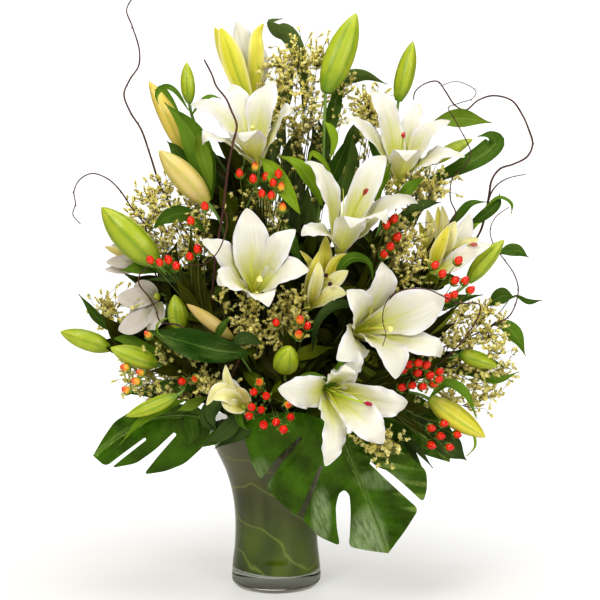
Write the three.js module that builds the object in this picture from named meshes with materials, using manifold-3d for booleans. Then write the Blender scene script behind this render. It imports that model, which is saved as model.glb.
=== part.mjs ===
// A tall florist's bouquet of white lilies in a flared glass vase lined with a leaf. Millimetres, +Z up.
// The origin is the middle of the vase's underside, and the bouquet's front faces -Y.
import * as THREE from "three";
import { mergeVertices } from "three/addons/utils/BufferGeometryUtils.js";
import Module from "manifold-3d";

const wasm = await Module();
wasm.setup();

// ---- driving dimensions ----
const VASE_HEIGHT = 250;
const GLASS = 4;
const FLOOR_THICKNESS = 22;
const VASE_OUTLINE = [[60, 0], [67, 9], [66.5, 28], [63, 62], [62, 95], [65, 132], [75, 172], [91, 208],
  [108, VASE_HEIGHT]];
const VASE_SIDES = 20;
const LINER_THICKNESS = 0.8;
const LINER_STEPS = 22;
const LINER_GAP = 1;
const LINER_SPIRAL = 2.4;
const WATER_LEVEL = 190;
const CLEARANCE = 0.35;
const STEM_FOOT = FLOOR_THICKNESS + 0.8;
const JOIN_TOLERANCE = 0.5;

// The rings in which the stems stand: how far each ring is from the axis on the vase's floor and at its rim.
const RING_ON_FLOOR = [0, 10, 20, 29, 38];
const RING_AT_RIM = [0, 18, 36, 52, 67];

// Places are given as they are seen from the front, from EYE: across and up on the plane through the
// vase's axis, and how far they stand in front of that plane. What is nearer is drawn in to the eye line.
const EYE = new THREE.Vector3(36, -2200, 600);

const PETAL_WIDTH = 46;
const SEPAL_WIDTH = 33;
const PETAL_THICKNESS = 1;
const TEPAL_ROWS = [0, 0.3, 0.65, 1];
const NARROWEST_SHARE = 0.24;
const RECEPTACLE_DEPTH = 5;
const LEAF_THICKNESS = 0.8;
const LEAF_ROWS = 3;
const BERRY_RADIUS = 5.8;
const BERRY_STRIDE = 2;
const FLORET_RADIUS = 3.4;

const LOOKS = {
  glass: ["#dfe9e4", 0.08],
  water: ["#cfe0d2", 0.1],
  liner_leaf: ["#4d6135", 0.5],
  monstera: ["#1f4a16", 0.3],
  white_petal: ["#f3f1e6", 0.5],
  yellow_petal: ["#d9d25a", 0.5],
  lily_green: ["#5c8f27", 0.5],
  hypericum: ["#c22a12", 0.3],
  limonium: ["#d9cf7a", 0.8],
  willow: ["#4a2018", 0.6],
  dark_leaf: ["#2b4a22", 0.45],
};

// ---- where everything stands, as seen from the front ----

// Each bloom: where it joins its stalk, the middle of its mouth, the stigma, and its six tips in turn,
// petals (wide) and sepals (narrow) by turns, with how far each tip curls back in degrees.
const BLOOMS = {
  lily_top: { look: "yellow_petal", base: [-41, 730, -40], mouth: [-52, 792, -38],
    tips: [[-82, 834, -18, 5], [-91, 834, -50, 10], [-56, 846, -70, 5], [-26, 822, -62, 10],
      [-20, 842, -42, 25], [-50, 822, -14, 5]] },
  lily_upper_left: { look: "white_petal", base: [-27, 633, 20], mouth: [-38, 696, 62], stigma: [-35, 690,
    88],
    tips: [[-2, 757, 30, 5], [28, 708, 70, 80], [-46, 668, 122, 85], [-108, 664, 88, 85],
      [-126, 722, 50, 25], [-66, 752, 15, 5]] },
  lily_upper_right: { look: "white_petal", base: [183, 606, 10], mouth: [189, 662, 55], stigma: [190, 680,
    88],
    tips: [[141, 742, 25, 30], [214, 724, 15, 15], [259, 698, 45, 20], [281, 645, 68, 25],
      [194, 640, 120, 80], [100, 694, 60, 60]] },
  lily_centre: { look: "white_petal", base: [95, 503, 62], mouth: [114, 572, 108], stigma: [136, 597, 142],
    tips: [[162, 647, 72, 20], [211, 576, 100, 40], [164, 546, 152, 60], [112, 540, 172, 80],
      [39, 528, 122, 80], [43, 637, 78, 35]] },
  lily_left: { look: "white_petal", base: [-35, 437, 60], mouth: [-31, 474, 118], stigma: [-24, 463, 148],
    tips: [[-43, 569, 98, 5], [29, 537, 112, 15], [49, 476, 132, 25], [-11, 422, 152, 45],
      [-86, 455, 152, 80], [-111, 522, 116, 20]] },
  lily_right: { look: "white_petal", base: [114, 383, 70], mouth: [160, 396, 138], stigma: [172, 388, 172],
    tips: [[252, 437, 132, 15], [247, 347, 142, 60], [179, 313, 186, 20], [91, 342, 178, 35],
      [106, 446, 148, 40], [158, 488, 124, 45]] },
  lily_low: { look: "white_petal", base: [74, 300, 112], mouth: [96, 286, 168], stigma: [143, 274, 205],
    tips: [[3, 298, 186, 35], [104, 334, 176, 70], [124, 355, 158, 40], [197, 276, 178, 55],
      [161, 215, 212, 30], [74, 181, 208, 25]] },
  lily_far_right: { look: "yellow_petal", base: [234, 474, 32], mouth: [262, 522, 58], stigma: [300, 515,
    84],
    tips: [[225, 566, 30, 10], [290, 561, 28, 10], [321, 514, 48, 15], [281, 506, 88, 20],
      [267, 550, 78, 20], [215, 549, 62, 15]] },
  lily_half_open: { look: "yellow_petal", base: [48, 421, 58], mouth: [68, 460, 84], stigma: [80, 466, 100],
    tips: [[74, 530, 76, 5], [115, 501, 84, 60], [108, 477, 94, 20], [103, 441, 102, 45],
      [65, 488, 114, 5], [40, 507, 72, 10]] },
  lily_hidden_left: { look: "white_petal", base: [-178, 438, 10], mouth: [-208, 424, 34], stigma: [-216,
    420, 52],
    tips: [[-212, 462, 34, 20], [-240, 444, 36, 25], [-240, 412, 56, 30], [-224, 386, 58, 30],
      [-196, 388, 58, 30], [-186, 448, 56, 30]] },
  lily_small_low: { look: "yellow_petal", base: [-50, 270, 118], mouth: [-72, 298, 140], stigma: [-76, 304,
    148],
    tips: [[-76, 328, 134, 5], [-60, 318, 150, 5], [-76, 300, 164, 10], [-92, 282, 162, 10],
      [-103, 274, 142, 10], [-94, 304, 126, 5]] },
};

// Each lily stem: the slot it stands in (ring, degrees round from +X), the points it passes, and on it
// the blooms and buds, with the height at which each stalk leaves, and the leaves (height, tip, width).
// A bud is the height of its stalk, 0 where it ends the stem, then its foot, its tip and its radius.
const LILY_STEMS = {
  lily_stem_left_high: { slot: [1, 165], points: [[-60, 420, -20], [-62, 560, -30]],
    end: "lily_top", blooms: { lily_upper_left: 520 },
    buds: [[590, [-128, 725, 10], [-132, 785, 12], 10.5], [540, [-134, 650, -20], [-188, 757, -24], 15],
      [480, [-102, 578, 48], [-174, 655, 58], 19]],
    leaves: [[500, [-166, 742, 4], 30], [460, [-98, 655, 60], 26], [540, [-150, 700, -50], 26],
      [600, [-20, 700, -70], 24]] },
  lily_stem_middle: { slot: [1, 60], points: [[20, 400, 10], [64, 560, -10], [74, 741, -8]],
    blooms: { lily_centre: 430, lily_half_open: 340 },
    buds: [[0, [74, 741, -8], [119, 857, -12], 22]],
    leaves: [[480, [-21, 646, 62], 22], [560, [118, 690, 30], 22], [420, [150, 480, 40], 22],
      [640, [100, 770, -50], 22]] },
  lily_stem_right_high: { slot: [1, 0], points: [[110, 420, -10], [160, 560, -20], [182, 728, -8]],
    blooms: { lily_upper_right: 540 },
    buds: [[0, [182, 728, -8], [203, 816, -4], 14], [560, [231, 636, 0], [293, 672, 6], 10]],
    leaves: [[520, [160, 640, 40], 20], [500, [250, 600, -30], 24], [600, [130, 700, -40], 22]] },
  lily_stem_left: { slot: [2, 205], points: [[-84, 340, 10], [-130, 420, 4], [-189, 489, -4]],
    blooms: { lily_left: 330 },
    buds: [[0, [-189, 489, -4], [-257, 497, 0], 15], [420, [-177, 486, 44], [-260, 571, 52], 23],
      [330, [-144, 387, 62], [-152, 440, 74], 15],
      [320, [-66, 375, 104], [-134, 426, 120], 10]],
    leaves: [[400, [-232, 474, -60], 26], [440, [-200, 560, -40], 24]] },
  lily_stem_right: { slot: [2, 335], points: [[106, 320, 20], [170, 390, 20]],
    end: "lily_far_right", blooms: { lily_right: 300 },
    buds: [[400, [288, 459, 56], [341, 522, 64], 13], [410, [240, 492, -12], [250, 568, -14], 10]],
    leaves: [[360, [190, 470, -40], 26], [400, [310, 440, -30], 24]] },
  lily_stem_low: { slot: [4, 285], points: [[16, 290, 96], [12, 326, 108]],
    blooms: { lily_low: 262, lily_small_low: 258 },
    buds: [[0, [12, 326, 108], [21, 360, 152], 18]],
    leaves: [[280, [84, 372, 92], 22], [270, [-30, 330, 90], 22]] },
  lily_stem_low_right: { slot: [4, 345], points: [[150, 300, 30], [276, 350, 50]],
    blooms: {},
    buds: [[0, [276, 350, 50], [333, 331, 56], 12], [285, [231, 282, 78], [316, 224, 92], 17]],
    leaves: [[320, [366, 322, 40], 20], [290, [304, 256, 70], 24], [280, [280, 200, 20], 24]] },
  lily_stem_low_left: { slot: [4, 184], points: [[-120, 310, 20], [-180, 352, 16], [-248, 359, 24]],
    blooms: { lily_hidden_left: 345 },
    buds: [[0, [-248, 359, 24], [-324, 384, 30], 15], [310, [-179, 335, 68], [-249, 360, 84], 15],
      [330, [-150, 288, 100], [-227, 256, 104], 11]],
    leaves: [[330, [-296, 434, 10], 20], [300, [-238, 212, 60], 14],
      [290, [-230, 290, -30], 26]] },
};

// Each hypericum spray: slot, points of its stem, how far in front its berries are, and the berries.
const HYPERICUM = {
  hypericum_top: { slot: [2, 240], points: [[-20, 420, 40], [-24, 560, 62]], near: 84,
    berries: [[-54, 621], [-31, 631], [-34, 613], [-15, 616], [-4, 607], [4, 620], [8, 601], [-21, 591],
      [-7, 588], [10, 570]] },
  hypericum_left: { slot: [3, 215], points: [[-90, 360, 60], [-132, 450, 80]], near: 100,
    berries: [[-188, 492], [-174, 488], [-161, 492], [-149, 483], [-129, 497], [-117, 508], [-106, 572],
      [-127, 550]] },
  hypericum_centre_right: { slot: [2, 300], points: [[110, 400, 40], [166, 470, 66]], near: 78,
    berries: [[165, 544], [176, 553], [181, 526], [171, 512], [162, 501]] },
  hypericum_right: { slot: [3, 330], points: [[160, 330, 60], [250, 400, 84]], near: 104,
    berries: [[238, 484], [249, 471], [273, 491], [268, 461], [283, 461], [292, 447], [256, 435], [267,
      440]] },
  hypericum_low_right: { slot: [4, 315], points: [[130, 300, 80], [196, 292, 110]], near: 132,
    berries: [[201, 335], [192, 327], [213, 322], [246, 324], [205, 303], [221, 301], [238, 306], [190,
      300]] },
  hypericum_far_low_right: { slot: [4, 330], points: [[120, 290, 60], [206, 262, 88]], near: 98,
    berries: [[234, 238], [253, 245], [248, 226], [273, 228], [234, 212], [262, 209]] },
  hypericum_low: { slot: [4, 270], points: [[-6, 290, 100], [-10, 278, 160]], near: 176,
    berries: [[-34, 293], [-15, 287], [-37, 270], [-23, 266], [-41, 257], [-19, 243], [0, 247], [11, 236],
      [22, 255], [18, 274], [-25, 308]] },
  hypericum_low_left: { slot: [4, 225], points: [[-90, 304, 50], [-176, 338, 72]], near: 96,
    berries: [[-142, 309], [-122, 313], [-204, 322], [-211, 309], [-226, 296], [-192, 380], [-227, 330]] },
  hypericum_centre: { slot: [3, 285], points: [[20, 320, 80], [24, 350, 100]], near: 118,
    berries: [[36, 402], [47, 393], [34, 380], [0, 398]] },
};

// Each limonium spray: slot, points of its stem, the middle and half sizes of its head, its branches.
const LIMONIUM = {
  limonium_top: { slot: [0, 0], points: [[10, 460, -30], [40, 660, -40]], middle: [44, 752, -44],
    half: [62, 66, 24], branches: 6 },
  limonium_top_right: { slot: [1, 30], points: [[100, 480, -60], [130, 640, -50]], middle: [134, 716, -44],
    half: [36, 38, 20], branches: 5 },
  limonium_upper_right: { slot: [2, 0], points: [[150, 420, -20], [204, 540, 10]], middle: [214, 606, 30],
    half: [48, 30, 20], branches: 5 },
  limonium_right: { slot: [2, 315], points: [[136, 400, 10], [188, 450, 44]], middle: [196, 505, 46],
    half: [38, 50, 18], branches: 5 },
  limonium_far_right: { slot: [3, 350], points: [[190, 320, 20], [260, 340, 30]], middle: [296, 350, 30],
    half: [56, 76, 34], branches: 6 },
  limonium_upper_left: { slot: [2, 165], points: [[-100, 420, -10], [-140, 490, 0]], middle: [-160, 554, 14],
    half: [58, 58, 26], branches: 6 },
  limonium_far_left: { slot: [3, 180], points: [[-130, 340, -10], [-190, 380, -20]], middle: [-222, 416,
    -24],
    half: [48, 34, 22], branches: 5 },
  limonium_low_left: { slot: [4, 215], points: [[-100, 306, 36], [-150, 326, 52]], middle: [-160, 316, 60],
    half: [72, 36, 24], branches: 5 },
  limonium_centre: { slot: [3, 255], points: [[-14, 320, 60], [-14, 360, 70]], middle: [-6, 402, 80],
    half: [50, 40, 20], branches: 5 },
  limonium_low_right: { slot: [3, 300], points: [[100, 284, 120], [132, 256, 170]], middle: [152, 216, 178],
    half: [44, 24, 12], branches: 5 },
};

// Each curly willow twig: slot, thickness, and the points of its line; side twigs leave at a height.
const WILLOW = {
  willow_far_left: { slot: [2, 185], radius: 2, line: [[-70, 420, -40], [-150, 560, -30], [-172, 602, -24],
    [-186, 645, -20], [-200, 686, -20], [-216, 712, -16], [-225, 738, -16], [-216, 760, -22], [-203, 780,
      -24],
    [-202, 804, -20], [-212, 838, -16], [-220, 862, -18], [-208, 884, -22]] },
  willow_left: { slot: [3, 195], radius: 1.6, line: [[-150, 400, -16], [-186, 490, 16], [-196, 544, 14],
    [-214, 568, 8], [-234, 598, 4], [-252, 614, 0], [-274, 621, -2], [-292, 612, 0], [-301, 594, 4],
    [-299, 576, 2], [-303, 560, 0], [-292, 546, 4]] },
  willow_front_left: { slot: [3, 228], radius: 2.6, line: [[-92, 380, 46], [-92, 480, 92], [-80, 560, 108],
    [-74, 606, 124], [-70, 636, 128], [-63, 669, 128], [-58, 692, 124], [-66, 714, 118], [-74, 732, 108],
    [-88, 750, 102], [-95, 768, 98], [-106, 789, 96]],
    side: { height: 570, radius: 1.2, line: [[-73, 552, 142], [-76, 530, 156], [-90, 500, 160],
      [-112, 485, 152], [-139, 486, 140]] } },
  willow_low_left: { slot: [4, 240], radius: 2, line: [[-74, 290, 90], [-66, 320, 98], [-56, 346, 110],
    [-72, 364, 122], [-104, 371, 122], [-124, 380, 116], [-146, 394, 110], [-174, 400, 100], [-180, 418, 94],
    [-190, 436, 90], [-205, 456, 86], [-204, 470, 84], [-189, 483, 84]] },
  willow_far_right: { slot: [2, 10], radius: 2, line: [[170, 400, -30], [262, 480, -20], [303, 530, -6],
    [313, 562, 0], [318, 590, 2], [322, 612, 4], [334, 628, 2], [354, 635, -2], [374, 646, -4], [382, 664,
      -4],
    [376, 686, -2], [366, 708, 0], [350, 729, -2], [322, 736, -6], [300, 729, -10], [282, 715, -12],
    [266, 722, -12], [252, 742, -10], [240, 757, -8], [220, 753, -8], [207, 742, -8], [204, 730, -8]],
    side: { height: 572, radius: 1.3, line: [[322, 594, 14], [332, 606, 16], [346, 614, 16], [372, 620,
      14]] } },
  willow_upper_right: { slot: [1, 330], radius: 1.2, line: [[140, 440, -6], [236, 524, 14], [268, 560, 16],
    [261, 580, 18], [260, 598, 20], [264, 616, 20], [278, 628, 22], [290, 650, 22], [284, 668, 22],
    [273, 688, 20], [262, 708, 18], [256, 718, 16], [272, 725, 16], [292, 732, 16], [297, 742, 14],
    [286, 751, 12], [266, 757, 12], [244, 750, 12]] },
  willow_right: { slot: [4, 0], radius: 1.4, line: [[170, 330, -10], [280, 372, 20], [334, 398, 36],
    [350, 408, 38], [360, 428, 40], [363, 450, 40], [356, 472, 40], [342, 492, 38], [326, 514, 34],
    [320, 536, 30], [328, 556, 28], [348, 571, 26]] },
  willow_over_bloom: { slot: [3, 315], radius: 1.3, line: [[150, 280, 80], [250, 340, 110], [300, 400, 120],
    [306, 424, 128], [270, 428, 150], [250, 438, 160], [226, 448, 164], [196, 448, 166], [172, 438, 168],
    [162, 420, 172], [160, 400, 180], [165, 380, 190], [160, 362, 196]] },
};

// Each stem of other foliage: slot, points, and its leaves (height, tip, width).
const FOLIAGE = {
  foliage_front: { slot: [3, 270], points: [[-30, 310, 80], [-56, 352, 104]],
    leaves: [[346, [-248, 372, 126], 36]] },
  foliage_top: { slot: [1, 120], points: [[0, 480, -70], [10, 640, -80]],
    leaves: [[560, [4, 850, -84], 32], [540, [50, 790, -100], 24], [500, [-60, 700, -90], 30],
      [480, [90, 640, -110], 30], [600, [60, 720, -90], 28]] },
  foliage_right: { slot: [2, 30], points: [[130, 440, -50], [210, 580, -40]],
    leaves: [[570, [322, 700, -30], 28], [560, [328, 668, -10], 26], [520, [356, 566, 0], 20],
      [500, [176, 748, -60], 28], [480, [300, 580, -60], 28]] },
  foliage_low_right: { slot: [3, 20], points: [[180, 360, -20], [296, 430, 0]],
    leaves: [[425, [378, 496, 10], 16], [415, [396, 430, 16], 22], [400, [376, 348, 20], 18],
      [380, [330, 330, -40], 30]] },
  foliage_left: { slot: [3, 160], points: [[-130, 360, -40], [-190, 450, -50]],
    leaves: [[430, [-292, 540, -50], 28], [400, [-300, 430, -40], 28], [380, [-260, 340, -50], 30],
      [440, [-180, 600, -60], 28], [360, [-180, 300, -60], 30]] },
};

// Each monstera leaf: the slot of its stalk, the midrib from the stalk to the tip, the two sides of its
// outline from the stalk to the tip, with the slots between the lobes, how far in front its crown stands,
// and how much the sides fall back.
const MONSTERA = {
  monstera_front: { slot: [4, 300], crown: 156, fall: 0.0016, stalk: [[66, 282, 100], [92, 258, 148]],
    midrib: [[99, 226], [114, 189], [129, 155], [149, 102], [170, 46]],
    right: [[128, 236], [160, 220], [200, 196], [227, 174], [229, 148], [223, 124], [200, 146], [172, 170],
      [143, 188], [141, 184], [168, 158], [196, 132], [216, 114], [195, 80]],
    left: [[84, 248], [40, 262], [-10, 262], [-51, 246], [-46, 214], [-38, 186], [-24, 158], [0, 192],
      [36, 226], [40, 222], [8, 184], [-16, 148], [6, 124], [32, 103], [48, 140], [66, 182], [71, 180],
      [56, 138], [40, 97], [64, 72], [97, 57], [92, 84], [90, 118], [95, 138], [103, 144], [111, 136],
      [113, 112], [112, 80], [110, 56], [140, 50]] },
  monstera_left: { slot: [4, 200], crown: 78, fall: 0.0012, stalk: [[-78, 268, 40], [-90, 262, 72]],
    midrib: [[-96, 252], [-140, 258], [-190, 252], [-230, 232], [-277, 196]],
    right: [[-120, 272], [-170, 277], [-215, 266], [-244, 248], [-262, 222]],
    left: [[-100, 228], [-110, 210], [-138, 184], [-168, 172], [-201, 167], [-178, 196], [-150, 228],
      [-154, 232], [-184, 204], [-212, 184], [-250, 177], [-224, 198], [-196, 220], [-198, 224],
      [-228, 202], [-258, 179]] },
  monstera_back: { slot: [4, 60], crown: -96, fall: -0.0012, stalk: [[72, 282, -76], [92, 270, -92]],
    midrib: [[100, 262], [140, 262], [190, 250], [232, 226], [262, 186]],
    right: [[112, 236], [124, 208], [150, 180], [186, 166], [174, 196], [160, 230], [166, 230], [186, 200],
      [226, 164], [214, 196], [202, 222], [208, 220], [222, 198]],
    left: [[110, 288], [150, 302], [200, 296], [246, 268], [270, 226]] },
};

// ---- helpers: places, solids and curves ----

function at([across, up, near]) {
  const drawIn = 1 + near / EYE.y;
  return new THREE.Vector3(EYE.x + (across - EYE.x) * drawIn, -near, EYE.z + (up - EYE.z) * drawIn);
}

function seededRandom(seed) {
  let state = seed;
  return () => {
    state = (state * 1664525 + 1013904223) % 4294967296;
    return state / 4294967296;
  };
}

// The mesh of a geometry as a solid: shared corners merged and triangles without area left out.
function solidOf(geometry) {
  const bare = new THREE.BufferGeometry();
  bare.setAttribute("position", geometry.getAttribute("position"));
  if (geometry.index) {
    bare.setIndex(geometry.index);
  }
  const merged = mergeVertices(bare);
  const corners = merged.index.array;
  const kept = [];
  for (let i = 0; i < corners.length; i += 3) {
    const [a, b, c] = corners.slice(i, i + 3);
    if (a !== b && b !== c && c !== a) {
      kept.push(a, b, c);
    }
  }
  const vertProperties = Float32Array.from(merged.attributes.position.array);
  return new wasm.Manifold(new wasm.Mesh({ numProp: 3, vertProperties, triVerts: Uint32Array.from(kept) }));
}

// A place on the stem's solid, which runs straight between its rings of corners.
function onStem(line, t, stepsBetween) {
  const rings = (line.points.length - 1) * stepsBetween;
  const ring = Math.min(Math.floor(t * rings), rings - 1);
  return line.getPoint(ring / rings).lerp(line.getPoint((ring + 1) / rings), t * rings - ring);
}

// Solids joined into one body, without the slivers that joining leaves and any hollow that it seals.
function fuse(solids) {
  const bodies = wasm.Manifold.union(solids).simplify(JOIN_TOLERANCE).decompose();
  return bodies.reduce((whole, body) => (body.volume() > whole.volume() ? body : whole));
}

function geometryOf(solid) {
  const mesh = solid.getMesh();
  const geometry = new THREE.BufferGeometry();
  geometry.setAttribute("position", new THREE.BufferAttribute(mesh.vertProperties, 3));
  geometry.setIndex(new THREE.BufferAttribute(mesh.triVerts, 1));
  geometry.computeVertexNormals();
  return geometry;
}

// A turned shape bent along a curve: its profile is a list of places on the curve (0 to 1) and radii.
function bent(curve, profile, sides) {
  const first = profile[0][0];
  const last = profile[profile.length - 1][0];
  const outline = [[first, 0], ...profile, [last, 0]];
  const shape = new THREE.LatheGeometry(outline.map(([, r], i) => new THREE.Vector2(r, i)), sides);
  const position = shape.getAttribute("position");
  let side = new THREE.Vector3(0.31, -0.87, 0.38);
  const frames = outline.map(([t]) => {
    const heading = curve.getTangent(t);
    side = side.clone().addScaledVector(heading, -side.dot(heading)).normalize();
    return [curve.getPoint(t), side, heading.cross(side)];
  });
  for (let i = 0; i < position.count; i += 1) {
    const [middle, across, over] = frames[Math.round(position.getY(i))];
    const moved = middle.clone().addScaledVector(across, position.getX(i)).addScaledVector(over,
      -position.getZ(i));
    position.setXYZ(i, ...moved.toArray());
  }
  return solidOf(shape);
}

function tube(curve, radius, sides, steps) {
  const places = Array.from({ length: steps + 1 }, (_, i) => i / steps);
  return bent(curve, places.map((t) => [t, radius]), sides);
}

// A thin sheet on a grid of points, half its thickness to each side, closed round its edge.
function sheet(grid, thickness) {
  const rows = grid.length;
  const columns = grid[0].length;
  const positions = [];
  for (const side of [0.5, -0.5]) {
    for (let i = 0; i < rows; i += 1) {
      for (let j = 0; j < columns; j += 1) {
        const along = grid[Math.min(i + 1, rows - 1)][j].clone().sub(grid[Math.max(i - 1, 0)][j]);
        const across = grid[i][Math.min(j + 1, columns - 1)].clone().sub(grid[i][Math.max(j - 1, 0)]);
        const normal = across.cross(along).normalize();
        positions.push(...grid[i][j].clone().addScaledVector(normal, side * thickness).toArray());
      }
    }
  }
  const under = rows * columns;
  const corner = (i, j) => i * columns + j;
  const triangles = [];
  const quad = (a, b, c, d) => triangles.push(a, b, c, a, c, d);
  for (let i = 0; i + 1 < rows; i += 1) {
    for (let j = 0; j + 1 < columns; j += 1) {
      const [a, b, c, d] = [corner(i, j), corner(i, j + 1), corner(i + 1, j + 1), corner(i + 1, j)];
      triangles.push(a, b, c, a, c, d, under + a, under + c, under + b, under + a, under + d, under + c);
    }
  }
  for (let i = 0; i + 1 < rows; i += 1) {
    quad(corner(i, 0), corner(i + 1, 0), under + corner(i + 1, 0), under + corner(i, 0));
    const last = columns - 1;
    quad(corner(i + 1, last), corner(i, last), under + corner(i, last), under + corner(i + 1, last));
  }
  for (let j = 0; j + 1 < columns; j += 1) {
    quad(corner(0, j + 1), corner(0, j), under + corner(0, j), under + corner(0, j + 1));
    const last = rows - 1;
    quad(corner(last, j), corner(last, j + 1), under + corner(last, j + 1), under + corner(last, j));
  }
  const geometry = new THREE.BufferGeometry();
  geometry.setAttribute("position", new THREE.Float32BufferAttribute(positions, 3));
  geometry.setIndex(triangles);
  return solidOf(geometry);
}

// ---- the pieces of the bouquet: each node's solids are gathered here and joined at the end ----

const nodes = new Map();

function boxOf(solid) {
  const { min, max } = solid.boundingBox();
  return new THREE.Box3(new THREE.Vector3(...min), new THREE.Vector3(...max)).expandByScalar(CLEARANCE);
}

function start(name, look, solids) {
  nodes.set(name, { look, pieces: solids.map((solid) => ({ solid, box: boxOf(solid) })) });
}

function isClear(name, solid, box) {
  for (const [other, { pieces }] of nodes) {
    if (other !== name && pieces.some((piece) => piece.box.intersectsBox(box)
      && piece.solid.minGap(solid, CLEARANCE) < CLEARANCE)) {
      return false;
    }
  }
  return true;
}

// Small pieces join their node only where they are clear of every other node.
function grow(name, solids) {
  for (const solid of solids) {
    const box = boxOf(solid);
    if (isClear(name, solid, box)) {
      nodes.get(name).pieces.push({ solid, box });
    }
  }
}

function meshOf(name, { look, pieces }) {
  const [color, roughness] = LOOKS[look];
  const clear = look === "glass" || look === "water";
  const material = new THREE.MeshStandardMaterial({ color, roughness, metalness: 0, transparent: clear,
    opacity: clear ? 0.35 : 1 });
  const mesh = new THREE.Mesh(geometryOf(fuse(pieces.map(({ solid }) => solid))), material);
  mesh.name = name;
  return mesh;
}

// ---- the vase, its liner leaf and the water ----

function outerRadius(height) {
  const above = VASE_OUTLINE.findIndex(([, z]) => z >= height);
  if (above <= 0) {
    return VASE_OUTLINE[0][0];
  }
  const [[r0, z0], [r1, z1]] = [VASE_OUTLINE[above - 1], VASE_OUTLINE[above]];
  return r0 + ((r1 - r0) * (height - z0)) / (z1 - z0);
}

function innerRadius(height) {
  return outerRadius(height) - GLASS;
}

function lathe(profile) {
  const points = profile.map(([r, z]) => new THREE.Vector2(r, z));
  return solidOf(new THREE.LatheGeometry(points, VASE_SIDES).rotateX(Math.PI / 2));
}

function vase() {
  const inside = VASE_OUTLINE.filter(([, z]) => z > FLOOR_THICKNESS + GLASS);
  const profile = [[0, 0], ...VASE_OUTLINE, [outerRadius(VASE_HEIGHT) - GLASS / 2, VASE_HEIGHT + GLASS / 2],
    ...inside.reverse().map(([r, z]) => [r - GLASS, z]), [innerRadius(FLOOR_THICKNESS) - GLASS,
      FLOOR_THICKNESS],
    [0, FLOOR_THICKNESS]];
  return lathe(profile);
}

// One broad leaf wound round the inside of the glass, its end lapping over its start.
function liner() {
  const heights = VASE_OUTLINE.map(([, height]) => Math.min(height, VASE_HEIGHT - 8)).slice(2);
  heights.splice(-2, 1);
  const grid = heights.map((height) => Array.from({ length: LINER_STEPS + 1 }, (_, i) => {
    const angle = (i * 2 * Math.PI) / VASE_SIDES;
    const radius = innerRadius(height) - LINER_GAP - (LINER_SPIRAL * i) / LINER_STEPS;
    return new THREE.Vector3(radius * Math.cos(angle), radius * Math.sin(angle), height);
  }));
  return sheet(grid, LINER_THICKNESS);
}

function water(stems) {
  const inset = LINER_GAP + LINER_SPIRAL + LINER_THICKNESS + CLEARANCE;
  const bottom = FLOOR_THICKNESS + CLEARANCE;
  const profile = [[0, bottom], [innerRadius(bottom) - inset - GLASS, bottom],
    ...VASE_OUTLINE.filter(([, z]) => z > bottom + GLASS && z < WATER_LEVEL).map(([r,
      z]) => [r - GLASS - inset, z]),
    [innerRadius(WATER_LEVEL) - inset, WATER_LEVEL], [0, WATER_LEVEL]];
  return lathe(profile).subtract(wasm.Manifold.union(stems));
}

// ---- stems ----

function slotPoint([ring, degrees], height) {
  const angle = THREE.MathUtils.degToRad(degrees);
  const rise = (height - FLOOR_THICKNESS) / (VASE_HEIGHT - FLOOR_THICKNESS);
  const radius = RING_ON_FLOOR[ring] + (RING_AT_RIM[ring] - RING_ON_FLOOR[ring]) * rise;
  return new THREE.Vector3(radius * Math.cos(angle), radius * Math.sin(angle), height);
}

// A stem's line: straight from the vase's floor to its rim, then through the points given.
function stemLine(slot, points) {
  const heights = [STEM_FOOT, 100, 200, VASE_HEIGHT];
  const inVase = heights.map((height) => slotPoint(slot, height));
  return new THREE.CatmullRomCurve3([...inVase, ...points.map(at)]);
}

const wells = [];

// The stem's solid. The straight hole that it stands in is kept for the water.
function stem(slot, line, radius, sides, stepsBetween = 2) {
  const hole = new THREE.LineCurve3(slotPoint(slot, FLOOR_THICKNESS - 2), slotPoint(slot, WATER_LEVEL + 8));
  wells.push(tube(hole, (radius + 2 * CLEARANCE) / Math.cos(Math.PI / 4), 4, 1));
  const spans = line.points.length - 1;
  const profile = [[0, radius], [2 / spans, radius]];
  for (let i = 1; i <= (spans - 2) * stepsBetween; i += 1) {
    const t = (2 + i / stepsBetween) / spans;
    profile.push([t, radius * (1 - 0.4 * t)]);
  }
  return bent(line, profile, sides);
}

function placeAtHeight(line, height) {
  const steps = 200;
  for (let i = 0; i < steps; i += 1) {
    if (line.getPoint(i / steps).z >= height) {
      return i / steps;
    }
  }
  return 0.98;
}

// A stalk from its stem, at a height, to its end, where it points along the heading.
function stalk(line, height, end, heading, radius) {
  const t = placeAtHeight(line, height);
  const start = onStem(line, t, 2);
  const length = start.distanceTo(end);
  const leaving = start.clone().lerp(end, 0.3).addScaledVector(line.getTangent(t), 0.08 * length);
  const arriving = end.clone().addScaledVector(heading, -0.3 * length);
  return tube(new THREE.CubicBezierCurve3(start, leaving, arriving, end), radius, 4, 2);
}

// ---- lilies ----

function tepalBreadth(t) {
  return Math.max(0.01, 0.22 * (1 - t) ** 2 + Math.sin(Math.PI * t ** 1.15) ** 0.85);
}

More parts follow.
